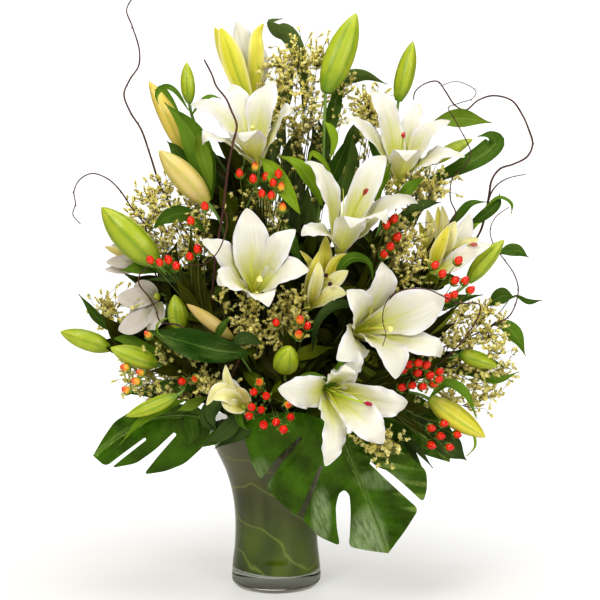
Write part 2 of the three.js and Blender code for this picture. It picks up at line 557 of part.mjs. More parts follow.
// One petal or sepal: it leaves the foot along the bloom's axis, flares, and curls back at its tip.
function tepal(foot, axis, tip, width, curl, layer, share, columns) {
  const reach = tip.clone().sub(foot);
  const outward = reach.clone().addScaledVector(axis, -reach.dot(axis)).normalize();
  const side = axis.clone().cross(outward);
  const length = reach.length();
  const curlBack = THREE.MathUtils.degToRad(curl);
  const heading = outward.clone().multiplyScalar(Math.cos(curlBack)).addScaledVector(axis,
    -Math.sin(curlBack));
  const root = foot.clone().addScaledVector(outward, layer);
  const midrib = new THREE.CubicBezierCurve3(root, root.clone().addScaledVector(axis, 0.5 * length),
    tip.clone().addScaledVector(heading, -0.38 * length), tip);
  const grid = [];
  for (const t of TEPAL_ROWS) {
    const middle = midrib.getPoint(t);
    const radius = middle.clone().sub(foot).dot(outward) + 6 * t;
    const half = Math.min((width / 2) * tepalBreadth(t), radius * share);
    grid.push(columns.map((s) => {
      const turn = (s * half) / radius;
      return middle.clone().addScaledVector(side, radius * Math.sin(turn))
        .addScaledVector(outward, -radius * (1 - Math.cos(turn)) * (1 - 0.8 * t));
    }));
  }
  return sheet(grid, PETAL_THICKNESS);
}

// How far each tepal may spread round the bloom's axis: just short of halfway to its nearest neighbour.
function sharesOfTurn(foot, axis, tips) {
  const across = new THREE.Vector3(0, 0, 1).cross(axis).normalize();
  const over = axis.clone().cross(across);
  const turns = tips.map((tip) => {
    const reach = tip.clone().sub(foot);
    return Math.atan2(reach.dot(over), reach.dot(across));
  });
  return turns.map((turn) => {
    const gaps = turns.map((other) => Math.PI - Math.abs(Math.abs(other - turn) - Math.PI));
    return Math.max(NARROWEST_SHARE, 0.46 * Math.min(...gaps.filter((gap) => gap > 0)));
  });
}

function bloom({ look, base, mouth, stigma, tips }) {
  const open = look === "white_petal";
  const foot = at(base);
  const axis = axisOf({ base, mouth });
  const heart = new THREE.LineCurve3(onAxis(foot, axis, -RECEPTACLE_DEPTH), onAxis(foot, axis, 9));
  const pieces = [bent(heart, [[0, 2.8], [0.4, 7.5], [1, 6]], 5)];
  const ends = tips.map(([across, up, near]) => at([across, up, near]));
  const shares = sharesOfTurn(foot, axis, ends);
  ends.forEach((tip, i) => {
    const width = (i % 2 ? SEPAL_WIDTH : PETAL_WIDTH) * Math.min(1, foot.distanceTo(tip) / 95);
    const layer = i % 2 ? 5.5 : 4.5;
    const columns = open && i % 2 === 0 ? [-1, 0, 1] : [-1, 1];
    pieces.push(tepal(foot, axis, tip, width, tips[i][3], layer, shares[i], columns));
  });
  if (stigma) {
    const end = at(stigma);
    const bend = onAxis(foot, axis, 0.6 * foot.distanceTo(end));
    const style = new THREE.QuadraticBezierCurve3(foot, bend, end);
    pieces.push(bent(style, [[0, 1.6], [0.5, 1.4], [0.9, 1.4], [0.96, 4], [1, 3]], 4));
  }
  return fuse(pieces);
}

// A bud of six closed tepals: three of its six sides stand out as ribs.
function bud(foot, tip, radius) {
  const profile = [[0, 0.5], [0.3, 0.96], [0.62, 0.92], [0.88, 0.5], [1, 0]];
  return bent(new THREE.LineCurve3(foot, tip), profile.map(([t, r]) => [t, r * radius]), 6);
}

function axisOf({ base, mouth }) {
  return at(mouth).sub(at(base)).normalize();
}

function onAxis(foot, axis, distance) {
  return foot.clone().addScaledVector(axis, distance);
}

// The end of the stalk under a bloom, or a place lower on it.
function underBloom(bloomShape, lower = 0) {
  return onAxis(at(bloomShape.base), axisOf(bloomShape), -RECEPTACLE_DEPTH - CLEARANCE - lower);
}

// ---- leaves ----

// A narrow leaf that leaves its stem along the stem's heading and arches over to its tip.
function leaf(base, heading, tip, width) {
  const length = base.distanceTo(tip);
  const bend = base.clone().lerp(tip, 0.4).addScaledVector(heading, 0.12 * length);
  const midrib = new THREE.QuadraticBezierCurve3(base, bend, tip);
  const facing = new THREE.Vector3(0, base.y > 40 ? 1 : -1, 0.35);
  const grid = [];
  for (let i = 0; i <= LEAF_ROWS; i += 1) {
    const t = i / LEAF_ROWS;
    const side = midrib.getTangent(t).cross(facing).normalize();
    const half = Math.max(0.2, (width / 2) * Math.sin(Math.PI * Math.min(1, t * 0.99 + 0.01) ** 0.85));
    grid.push([-1, 1].map((s) => midrib.getPoint(t).addScaledVector(side, s * half)));
  }
  return sheet(grid, LEAF_THICKNESS);
}

function leavesOf(line, leaves, stepsBetween) {
  return leaves.map(([height, tip, width]) => {
    const t = placeAtHeight(line, height);
    return leaf(onStem(line, t, stepsBetween), line.getTangent(t), at(tip), width);
  });
}

// A monstera blade: each side of the midrib is its own outline, lifted onto the arched surface.
function monstera({ slot, crown, fall, midrib, right, left }) {
  const rib = midrib.map(([across, up]) => new THREE.Vector2(across, up));
  const awayFromRib = (point) => Math.min(...rib.slice(1).map((end, i) => {
    const line = end.clone().sub(rib[i]);
    const along = THREE.MathUtils.clamp(point.clone().sub(rib[i]).dot(line) / line.lengthSq(), 0, 1);
    return point.distanceTo(rib[i].clone().addScaledVector(line, along));
  }));
  const lift = (point) => at([point.x, point.y, crown - fall * awayFromRib(point) ** 2]);
  const outline = [rib[0], ...right.map(([a, u]) => new THREE.Vector2(a, u)), rib[rib.length - 1],
    ...left.map(([a, u]) => new THREE.Vector2(a, u)).reverse()];
  const ribInner = rib.slice(1, -1);
  const positions = [];
  const points = [...outline, ...ribInner];
  for (const offset of [-0.6, 0.6]) {
    points.forEach((point) => positions.push(...lift(point).add(new THREE.Vector3(0, offset, 0)).toArray()));
  }
  const tipIndex = right.length + 1;
  const ribIndexes = ribInner.map((_, i) => outline.length + i);
  const rightSide = [...Array(tipIndex + 1).keys(), ...[...ribIndexes].reverse()];
  const leftSide = [0, ...ribIndexes, ...Array.from({ length: outline.length - tipIndex }, (_,
    i) => tipIndex + i)];
  const triangles = [];
  for (const ring of [rightSide, leftSide]) {
    for (const face of THREE.ShapeUtils.triangulateShape(ring.map((i) => points[i]), [])) {
      const [a, b, c] = face.map((i) => ring[i]);
      const up = THREE.ShapeUtils.isClockWise([points[a], points[b], points[c]]) ? [a, c, b] : [a, b, c];
      triangles.push(...up, up[0] + points.length, up[2] + points.length, up[1] + points.length);
    }
  }
  const turned = THREE.ShapeUtils.isClockWise(outline);
  for (let i = 0; i < outline.length; i += 1) {
    const next = (i + 1) % outline.length;
    const [a, b] = turned ? [next, i] : [i, next];
    triangles.push(a, a + points.length, b + points.length, a, b + points.length, b);
  }
  const geometry = new THREE.BufferGeometry();
  geometry.setAttribute("position", new THREE.Float32BufferAttribute(positions, 3));
  geometry.setIndex(triangles);
  return solidOf(geometry);
}

// ---- sprays of berries and of florets, and curly twigs ----

function berrySpray({ slot, points, near, berries }, seed) {
  const random = seededRandom(seed);
  const line = stemLine(slot, points);
  const pieces = berries.filter((_, i) => i % BERRY_STRIDE === 0).map(([across, up], i, shown) => {
    const middle = at([across, up, near + 20 * (random() - 0.5)]);
    const t = 0.78 + (0.21 * (i + random())) / shown.length;
    const start = onStem(line, t, 1);
    const heading = middle.clone().sub(start).normalize().add(line.getTangent(t)).normalize();
    const bend = start.clone().lerp(middle, 0.5).addScaledVector(line.getTangent(t), 6);
    const end = middle.clone().addScaledVector(heading, BERRY_RADIUS);
    const stalkLine = new THREE.QuadraticBezierCurve3(start, bend, end);
    const berryLength = 2.5 * BERRY_RADIUS / stalkLine.getLength();
    return bent(stalkLine, [[0, 0.8], [1 - berryLength, 0.8], [1 - 0.6 * berryLength, BERRY_RADIUS],
      [1 - 0.2 * berryLength, 0.8 * BERRY_RADIUS]], 4);
  });
  return { line, pieces };
}

function floretSpray({ slot, points, middle, half, branches }, seed) {
  const random = seededRandom(seed);
  const line = stemLine(slot, points);
  const pieces = [];
  for (let i = 0; i < branches; i += 1) {
    const turn = 2.4 * i;
    const spread = Math.sqrt((i + 0.5) / branches);
    const tip = at([middle[0] + half[0] * spread * Math.cos(turn),
      middle[1] + half[1] * spread * Math.sin(turn),
      middle[2] + half[2] * (2 * random() - 1)]);
    const t = 0.72 + (0.27 * (i + random())) / branches;
    const start = onStem(line, t, 1);
    const bend = start.clone().lerp(tip, 0.5).addScaledVector(line.getTangent(t), 12);
    const branch = new THREE.QuadraticBezierCurve3(start, bend, tip);
    pieces.push(bent(branch, [[0, 0.8], [0.5, 0.8], [0.62, FLORET_RADIUS], [0.78, 0.8], [0.9, FLORET_RADIUS],
      [1, 0]], 3));
  }
  return { line, pieces };
}

function twig({ slot, radius, line, side }) {
  const curve = stemLine(slot, line);
  const pieces = [stem(slot, curve, radius, 3, 1)];
  if (side) {
    const t = placeAtHeight(curve, side.height);
    const offshoot = new THREE.CatmullRomCurve3([onStem(curve, t, 1), ...side.line.map(at)]);
    pieces.push(tube(offshoot, side.radius, 3, side.line.length));
  }
  return pieces;
}

// ---- the bouquet put together: what must stand where it is, then the small pieces between it ----

start("vase", "glass", [vase()]);
start("liner_leaf", "liner_leaf", [liner()]);
for (const [name, shape] of Object.entries(BLOOMS)) {
  start(name, shape.look, [bloom(shape)]);
}
for (const [name, shape] of Object.entries(MONSTERA)) {
  const ribEnd = shape.midrib.slice(0, -1).map(([across, up]) => [across, up, shape.crown]);
  const line = stemLine(shape.slot, [...shape.stalk, ...ribEnd]);
  start(name, "monstera", [stem(shape.slot, line, 2.2, 5, 1), monstera(shape)]);
}
const leafing = [];
for (const [name, shape] of Object.entries(LILY_STEMS)) {
  const line = stemLine(shape.slot, shape.points);
  if (shape.end) {
    line.points.push(underBloom(BLOOMS[shape.end], 20), underBloom(BLOOMS[shape.end]));
  }
  const solids = [stem(shape.slot, line, 3.6, 5)];
  for (const [flower, height] of Object.entries(shape.blooms)) {
    const carried = BLOOMS[flower];
    solids.push(stalk(line, height, underBloom(carried), axisOf(carried), 2));
  }
  for (const [height, foot, tip, radius] of shape.buds) {
    solids.push(bud(at(foot), at(tip), radius));
    if (height > 0) {
      solids.push(stalk(line, height, at(foot), at(tip).sub(at(foot)).normalize(), 1.8));
    }
  }
  start(name, "lily_green", solids);
  leafing.push([name, leavesOf(line, shape.leaves, 2)]);
}
for (const [name, shape] of Object.entries(WILLOW)) {
  start(name, "willow", twig(shape));
}
for (const [name, shape] of Object.entries(FOLIAGE)) {
  const line = stemLine(shape.slot, shape.points);
  start(name, "dark_leaf", [stem(shape.slot, line, 2.4, 4, 1)]);
  leafing.push([name, leavesOf(line, shape.leaves, 1)]);
}
Object.entries(HYPERICUM).forEach(([name, shape], i) => {
  const { line, pieces } = berrySpray(shape, 11 + i);
  start(name, "hypericum", [stem(shape.slot, line, 2, 4, 1)]);
  leafing.push([name, pieces]);
});
Object.entries(LIMONIUM).forEach(([name, shape], i) => {
  const { line, pieces } = floretSpray(shape, 31 + i);
  start(name, "limonium", [stem(shape.slot, line, 1.6, 3, 1)]);
  leafing.push([name, pieces]);
});
for (const [name, solids] of leafing) {
  grow(name, solids);
}
start("water", "water", [water(wells)]);

const bouquet = new THREE.Group();
for (const [name, node] of nodes) {
  bouquet.add(meshOf(name, node));
}

export default bouquet;
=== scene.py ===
# A tall florist's bouquet of white lilies in a flared glass vase lined with a leaf.
import math

import bpy
import numpy as np
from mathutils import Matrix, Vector
from mathutils.geometry import delaunay_2d_cdt


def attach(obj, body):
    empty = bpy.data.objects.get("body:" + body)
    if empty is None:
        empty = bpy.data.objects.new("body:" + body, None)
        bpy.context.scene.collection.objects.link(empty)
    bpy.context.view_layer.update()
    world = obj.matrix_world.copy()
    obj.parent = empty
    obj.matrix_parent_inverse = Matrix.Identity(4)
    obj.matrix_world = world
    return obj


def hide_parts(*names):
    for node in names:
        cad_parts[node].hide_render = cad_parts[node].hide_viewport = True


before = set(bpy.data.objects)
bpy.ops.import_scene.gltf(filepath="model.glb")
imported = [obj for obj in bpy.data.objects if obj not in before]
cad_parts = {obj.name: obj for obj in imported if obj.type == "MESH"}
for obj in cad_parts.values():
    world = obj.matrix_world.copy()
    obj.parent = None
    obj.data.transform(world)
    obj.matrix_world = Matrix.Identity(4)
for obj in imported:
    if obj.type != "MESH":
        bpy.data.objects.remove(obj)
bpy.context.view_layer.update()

# ---- driving dimensions, in millimetres as in the solids ----

MM = 0.001
VASE_HEIGHT = 250
GLASS = 4
FLOOR_THICKNESS = 22
# The outside of the vase, as (radius, height).
VASE_OUTLINE = [(60, 0), (67, 9), (66.5, 28), (63, 62), (62, 95), (65, 132), (75, 172), (91, 208),
                (108, VASE_HEIGHT)]
FLOOR_CORNER = 9
LINER_TURNS = 1.1
LINER_FOOT = 26.5
LINER_TOP = VASE_HEIGHT - 8
WATER_LEVEL = 190
WATER_FOOT = FLOOR_THICKNESS + 0.6
WATER_INSET = 9
STEM_FOOT = FLOOR_THICKNESS + 0.8

# The rings in which the stems stand: how far each ring is from the axis on the vase's floor and at its rim.
RING_ON_FLOOR = [0, 10, 20, 29, 38]
RING_AT_RIM = [0, 18, 36, 52, 67]

# Places are given as they are seen from the front, from EYE: across and up on the plane through the
# vase's axis, and how far they stand in front of that plane. What is nearer is drawn in to the eye line.
EYE = Vector((36, -2200, 600))
VIEW_MIDDLE = Vector((36, 0, 432))

# How thick the stems are in radius at the foot, and how much of it they lose up to their end.
LILY_STEM = 3.6
LILY_STALK = 2.2
FOLIAGE_STEM = 2.4
MONSTERA_STALK = 2.5
HYPERICUM_STEM = 2
LIMONIUM_STEM = 1.6
TAPER = 0.4

RECEPTACLE_DEPTH = 5
PETAL_THICKNESS = 0.7
LEAF_THICKNESS = 0.7
INNER_LEAF_THICKNESS = 0.5
# A stem that ends above this height is bare under its top, where its leaves would hide the flowers.
HIGH_STEM_END = 690
LOWEST_LEAF_TIP = 262
NEAREST_INNER_TIP = 60
FARTHEST_INNER_TIP = 100

BERRY_RADIUS = 5.8
FLORET_RADIUS = 2.8
DROP_RADIUS = 1.5

# What grows round a stem or a head stands this far round from the one before, in radians.
TURN_TO_NEXT = 2.4

# ---- where everything stands, as seen from the front ----

# Each bloom: where it joins its stalk, the middle of its mouth, its stigma, and the six tips of its petals
# and sepals by turns. A tip is a place, how far it curls back in degrees, and the petal's width. A bloom
# without tips has shown petals. Where they differ from the rest, the slot, the finish of the style, how
# much wider the stigma is and how much more the petals are frilled.
BLOOMS = {
    "lily_top": {"base": [-41, 730, -40], "mouth": [-52, 792, -38], "slot": "cream_petal"},
    "lily_upper_left": {"base": [-27, 633, 20], "mouth": [-38, 696, 62], "stigma": [-35, 690, 88],
        "tips": [[-2, 757, 30, 5, 52], [28, 708, 70, 80, 38], [-46, 668, 122, 85, 50],
         [-108, 664, 88, 85, 36], [-126, 722, 50, 25, 44], [-66, 752, 15, 5, 40]]},
    "lily_upper_right": {"base": [183, 606, 10], "mouth": [189, 662, 55], "stigma": [190, 680, 88],
        "tips": [[141, 742, 25, 30, 38], [214, 724, 15, 15, 32], [259, 698, 45, 20, 36],
         [281, 645, 68, 25, 34], [194, 640, 120, 80, 42], [100, 694, 60, 60, 28]], "style": "red_stigma"},
    "lily_centre": {"base": [95, 503, 62], "mouth": [114, 572, 108], "stigma": [136, 597, 142],
        "tips": [[162, 647, 72, 20, 41], [211, 576, 100, 40, 40], [164, 546, 152, 60, 40],
         [112, 540, 172, 80, 42], [39, 528, 122, 80, 34], [43, 637, 78, 35, 34]],
         "style": "brown_red_stigma"},
    "lily_left": {"base": [-35, 437, 60], "mouth": [-31, 474, 118], "stigma": [-24, 463, 148],
        "tips": [[-43, 569, 98, 5, 57], [29, 537, 112, 15, 42], [49, 476, 132, 25, 50],
         [-11, 422, 152, 45, 38], [-86, 455, 152, 80, 43], [-111, 522, 116, 20, 38]], "swell": 1.55},
    "lily_right": {"base": [114, 383, 70], "mouth": [160, 396, 138], "stigma": [172, 388, 172],
        "tips": [[252, 437, 132, 15, 72], [247, 347, 142, 60, 36], [179, 313, 186, 20, 62],
         [91, 342, 178, 35, 50], [106, 446, 148, 40, 50], [158, 488, 124, 45, 46]], "swell": 1.55},
    "lily_low": {"base": [74, 300, 112], "mouth": [96, 286, 168], "stigma": [143, 274, 205],
        "tips": [[3, 298, 186, 35, 48], [104, 334, 176, 70, 34], [124, 355, 158, 40, 34],
         [197, 276, 178, 55, 40], [161, 215, 212, 30, 52], [74, 181, 208, 25, 40]],
         "style": "magenta_stigma", "frill": 1.7},
    "lily_far_right": {"base": [234, 474, 32], "mouth": [262, 522, 58], "stigma": [300, 515, 84],
        "slot": "cream_petal", "style": "pink_stigma"},
    "lily_half_open": {"base": [48, 421, 58], "mouth": [68, 460, 84], "stigma": [80, 466, 100],
        "slot": "cream_petal"},
    "lily_hidden_left": {"base": [-178, 438, 10], "mouth": [-208, 424, 34], "stigma": [-216, 420, 52]},
    "lily_small_low": {"base": [-50, 270, 118], "mouth": [-72, 298, 140], "stigma": [-76, 304, 148],
        "slot": "cream_petal"},
}

# Each lily stem: the slot it stands in (ring, degrees round from +X), the points it passes, the bloom that
# ends it, and the other blooms with the height at which each stalk leaves. A bud is the height of its
# stalk, 0 where it ends the stem, then its foot, its tip, its radius, and its finish where it isn't green.
# A leaf is the height where it leaves, its tip and its width.
LILY_STEMS = {
    "lily_stem_left_high": {"slot": [1, 165], "points": [[-60, 420, -20], [-62, 560, -30]],
        "end": "lily_top", "blooms": {"lily_upper_left": 520},
        "buds": [[590, [-128, 725, 10], [-132, 785, 12], 10.5],
         [540, [-134, 650, -20], [-188, 757, -24], 15, "yellow_bud"],
         [480, [-102, 578, 48], [-174, 655, 58], 19, "pale_bud"]],
        "leaves": [[540, [-150, 700, -50], 26], [600, [-20, 700, -70], 24]]},
    "lily_stem_middle": {"slot": [1, 60], "points": [[20, 400, 10], [64, 560, -10], [74, 741, -8]],
        "blooms": {"lily_centre": 430, "lily_half_open": 340},
        "buds": [[0, [74, 741, -8], [119, 857, -12], 22]],
        "leaves": [[560, [118, 690, 30], 22], [640, [100, 770, -50], 22]]},
    "lily_stem_right_high": {"slot": [1, 0], "points": [[110, 420, -10], [160, 560, -20], [182, 728, -8]],
        "blooms": {"lily_upper_right": 540},
        "buds": [[0, [182, 728, -8], [203, 816, -4], 14], [560, [231, 636, 0], [293, 672, 6], 10]],
        "leaves": [[500, [250, 600, -30], 24], [600, [130, 700, -40], 22]]},
    "lily_stem_left": {"slot": [2, 205], "points": [[-84, 340, 10], [-130, 420, 4], [-189, 489, -4]],
        "blooms": {"lily_left": 330},
        "buds": [[0, [-189, 489, -4], [-257, 497, 0], 15], [420, [-177, 486, 44], [-260, 571, 52], 23],
         [330, [-144, 387, 62], [-152, 440, 74], 15],
         [320, [-66, 375, 104], [-134, 426, 120], 10, "straw_bud"]],
        "leaves": [[400, [-232, 474, -60], 26]]},
    "lily_stem_right": {"slot": [2, 335], "points": [[106, 320, 20], [170, 390, 20]],
        "end": "lily_far_right", "blooms": {"lily_right": 300},
        "buds": [[400, [288, 459, 56], [341, 522, 64], 13], [410, [240, 492, -12], [250, 568, -14], 10]],
        "leaves": [[360, [190, 470, -40], 26], [400, [310, 440, -30], 24]]},
    "lily_stem_low": {"slot": [4, 285], "points": [[16, 290, 96], [12, 326, 108]],
        "blooms": {"lily_low": 262, "lily_small_low": 258},
        "buds": [[0, [12, 326, 108], [21, 360, 152], 18]],
        "leaves": [[270, [-30, 330, 90], 22]]},
    "lily_stem_low_right": {"slot": [4, 345], "points": [[150, 300, 30], [276, 350, 50]], "blooms": {},
        "buds": [[0, [276, 350, 50], [333, 331, 56], 12],
         [285, [231, 282, 78], [316, 224, 92], 17, "yellow_green_bud"]],
        "leaves": []},
    "lily_stem_low_left": {"slot": [4, 184], "points": [[-120, 310, 20], [-180, 352, 16],
        [-248, 359, 24]], "blooms": {"lily_hidden_left": 345},
        "buds": [[0, [-248, 359, 24], [-324, 384, 30], 15], [310, [-179, 335, 68], [-249, 360, 84], 15],
         [330, [-150, 288, 100], [-227, 256, 104], 11]],
        "leaves": [[290, [-230, 290, -30], 26]]},
}

# Each hypericum spray: slot, points of its stem, how far in front its berries are, the berries, and their
# finish where they are still yellow at the foot.
HYPERICUM = {
    "hypericum_top": {"slot": [2, 240], "points": [[-20, 420, 40], [-24, 560, 62]], "near": 84,
        "berries": [[-54, 621], [-31, 631], [-34, 613], [-15, 616], [-4, 607], [4, 620], [8, 601],
         [-21, 591], [-7, 588], [10, 570]], "berry": "half_ripe_berry"},
    "hypericum_left": {"slot": [3, 215], "points": [[-90, 360, 60], [-132, 450, 80]], "near": 100,
        "berries": [[-188, 492], [-174, 488], [-161, 492], [-149, 483], [-129, 497], [-117, 508],
         [-106, 572], [-127, 550]]},
    "hypericum_centre_right": {"slot": [2, 300], "points": [[110, 400, 40], [166, 470, 66]], "near": 78,
        "berries": [[165, 544], [176, 553], [181, 526], [171, 512], [162, 501]]},
    "hypericum_right": {"slot": [3, 330], "points": [[160, 330, 60], [250, 400, 84]], "near": 104,
        "berries": [[238, 484], [249, 471], [273, 491], [268, 461], [283, 461], [292, 447], [256, 435],
         [267, 440]]},
    "hypericum_low_right": {"slot": [4, 315], "points": [[130, 300, 80], [196, 292, 110]], "near": 132,
        "berries": [[201, 335], [192, 327], [213, 322], [246, 324], [205, 303], [221, 301], [238, 306],
         [190, 300], [226, 334], [232, 318], [214, 337], [245, 312]]},
    "hypericum_far_low_right": {"slot": [4, 330], "points": [[120, 290, 60], [206, 262, 88]], "near": 98,
        "berries": [[234, 238], [253, 245], [248, 226], [273, 228], [234, 212], [262, 209]]},
    "hypericum_low": {"slot": [4, 270], "points": [[-6, 290, 100], [-10, 278, 160]], "near": 176,
        "berries": [[-34, 293], [-15, 287], [-37, 270], [-23, 266], [-41, 257], [-19, 243], [0, 247],
         [11, 236], [22, 255], [18, 274], [-25, 308]], "berry": "half_ripe_berry"},
    "hypericum_low_left": {"slot": [4, 225], "points": [[-90, 304, 50], [-176, 338, 72]], "near": 96,
        "berries": [[-142, 309], [-122, 313], [-204, 322], [-211, 309], [-226, 296], [-192, 380],
         [-227, 330]], "berry": "half_ripe_berry"},
    "hypericum_centre": {"slot": [3, 285], "points": [[20, 320, 80], [24, 350, 100]], "near": 118,
        "berries": [[36, 402], [47, 393], [34, 380], [0, 398]], "berry": "half_ripe_berry"},
}

# Each limonium spray: slot, points of its stem, the middle and half sizes of its head, and where the photo
# shows them, the tips of branches below the head. A number of tips holds for a head thinner than the rest.
LIMONIUM = {
    "limonium_top": {"slot": [0, 0], "points": [[10, 460, -30], [40, 660, -40]], "middle": [44, 752, -44],
        "half": [62, 66, 24],
        "low_tips": [[-66, 582, 50], [-54, 564, 56], [-39, 588, 50], [-21, 573, 56], [-6, 585, 46],
         [6, 564, 50], [-30, 549, 60], [-12, 540, 60], [-48, 540, 60], [12, 543, 54], [-75, 561, 50]]},
    "limonium_top_right": {"slot": [1, 30], "points": [[100, 480, -60], [130, 640, -50]],
        "middle": [134, 716, -44], "half": [36, 38, 20]},
    "limonium_upper_right": {"slot": [2, 0], "points": [[150, 420, -20], [204, 540, 10]],
        "middle": [214, 606, 30], "half": [48, 30, 20]},
    "limonium_right": {"slot": [2, 315], "points": [[136, 400, 10], [188, 450, 44]],
        "middle": [196, 505, 46], "half": [38, 50, 18],
        "low_tips": [[183, 534, 66], [171, 522, 70], [192, 513, 70], [165, 499, 74]]},
    "limonium_far_right": {"slot": [3, 350], "points": [[190, 320, 20], [260, 340, 30]],
        "middle": [296, 350, 30], "half": [56, 76, 34]},
    "limonium_upper_left": {"slot": [2, 165], "points": [[-100, 420, -10], [-140, 490, 0]],
        "middle": [-160, 554, 14], "half": [58, 58, 26]},
    "limonium_far_left": {"slot": [3, 180], "points": [[-130, 340, -10], [-190, 380, -20]],
        "middle": [-222, 416, -24], "half": [48, 34, 22]},
    "limonium_low_left": {"slot": [4, 215], "points": [[-100, 306, 36], [-150, 326, 52]],
        "middle": [-160, 316, 60], "half": [72, 36, 24],
        "low_tips": [[-114, 324, 96], [-96, 312, 100], [-75, 324, 104], [-60, 306, 110],
         [-105, 294, 104]]},
    "limonium_centre": {"slot": [3, 255], "points": [[-14, 320, 60], [-14, 360, 70]],
        "middle": [-6, 402, 80], "half": [50, 40, 20],
        "low_tips": [[36, 447, 90], [45, 432, 90], [30, 417, 96], [-66, 432, 90], [-75, 444, 86],
         [-84, 426, 90]]},
    "limonium_low_right": {"slot": [3, 300], "points": [[100, 284, 120], [132, 256, 170]],
        "middle": [152, 216, 178], "half": [44, 24, 12], "tips": 11},
}

# Each curly willow twig: slot, thickness, and the points of its line. A side twig leaves at a height.
WILLOW = {
    "willow_far_left": {"slot": [2, 185], "radius": 2,
        "line": [[-70, 420, -40], [-150, 560, -30], [-172, 602, -24], [-186, 645, -20], [-200, 686, -20],
         [-216, 712, -16], [-225, 738, -16], [-216, 760, -22], [-203, 780, -24], [-202, 804, -20],
         [-212, 838, -16], [-220, 862, -18], [-208, 884, -22]]},
    "willow_left": {"slot": [3, 195], "radius": 1.6,
        "line": [[-150, 400, -16], [-186, 490, 16], [-196, 544, 14], [-214, 568, 8], [-234, 598, 4],
         [-252, 614, 0], [-274, 621, -2], [-292, 612, 0], [-301, 594, 4], [-299, 576, 2], [-303, 560, 0],
         [-292, 546, 4]]},
    "willow_front_left": {"slot": [3, 228], "radius": 2.6,
        "line": [[-92, 380, 46], [-92, 480, 92], [-80, 560, 108], [-74, 606, 124], [-70, 636, 128],
         [-63, 669, 128], [-58, 692, 124], [-66, 714, 118], [-74, 732, 108], [-88, 750, 102],
         [-95, 768, 98], [-106, 789, 96]],
        "side": {"height": 570, "radius": 1.2, "line": [[-73, 552, 142], [-76, 530, 156], [-90, 500, 160],
         [-112, 485, 152], [-139, 486, 140]]}},
    "willow_low_left": {"slot": [4, 240], "radius": 2,
        "line": [[-74, 290, 90], [-66, 320, 98], [-56, 346, 110], [-72, 364, 122], [-104, 371, 122],
         [-124, 380, 116], [-146, 394, 110], [-174, 400, 100], [-180, 418, 94], [-190, 436, 90],
         [-205, 456, 86], [-204, 470, 84], [-189, 483, 84]]},
    "willow_far_right": {"slot": [2, 10], "radius": 2,
        "line": [[170, 400, -30], [262, 480, -20], [303, 530, -6], [313, 562, 0], [318, 590, 2],
         [322, 612, 4], [334, 628, 2], [354, 635, -2], [374, 646, -4], [382, 664, -4], [376, 686, -2],
         [366, 708, 0], [350, 729, -2], [322, 736, -6], [300, 729, -10], [282, 715, -12], [266, 722, -12],
         [252, 742, -10], [240, 757, -8], [220, 753, -8], [207, 742, -8], [204, 730, -8]],
        "side": {"height": 572, "radius": 1.3, "line": [[322, 594, 14], [332, 606, 16], [346, 614, 16],
         [372, 620, 14]]}},
    "willow_upper_right": {"slot": [1, 330], "radius": 1.2,
        "line": [[140, 440, -6], [236, 524, 14], [268, 560, 16], [261, 580, 18], [260, 598, 20],
         [264, 616, 20], [278, 628, 22], [290, 650, 22], [284, 668, 22], [273, 688, 20], [262, 708, 18],
         [256, 718, 16], [272, 725, 16], [292, 732, 16], [297, 742, 14], [286, 751, 12], [266, 757, 12],
         [244, 750, 12]]},
    "willow_right": {"slot": [4, 0], "radius": 1.4,
        "line": [[170, 330, -10], [280, 372, 20], [334, 398, 36], [350, 408, 38], [360, 428, 40],
         [363, 450, 40], [356, 472, 40], [342, 492, 38], [326, 514, 34], [320, 536, 30], [328, 556, 28],
         [348, 571, 26]]},
    "willow_over_bloom": {"slot": [3, 315], "radius": 1.3,
        "line": [[150, 280, 80], [250, 340, 110], [300, 400, 120], [306, 424, 128], [270, 428, 150],
         [250, 438, 160], [226, 448, 164], [196, 448, 166], [172, 438, 168], [162, 420, 172],
         [160, 400, 180], [165, 380, 190], [160, 362, 196]]},
}

# Each stem of other foliage: slot and points, and how many drops are on its first leaf. Its leaves are
# among the shown leaves.
FOLIAGE = {
    "foliage_front": {"slot": [3, 270], "points": [[-30, 310, 80], [-56, 352, 104]], "drops": 64},
    "foliage_top": {"slot": [1, 120], "points": [[0, 480, -70], [10, 640, -80]]},
    "foliage_right": {"slot": [2, 30], "points": [[130, 440, -50], [210, 580, -40]]},
    "foliage_low_right": {"slot": [3, 20], "points": [[180, 360, -20], [296, 430, 0]]},
    "foliage_left": {"slot": [3, 160], "points": [[-130, 360, -40], [-190, 450, -50]]},
}

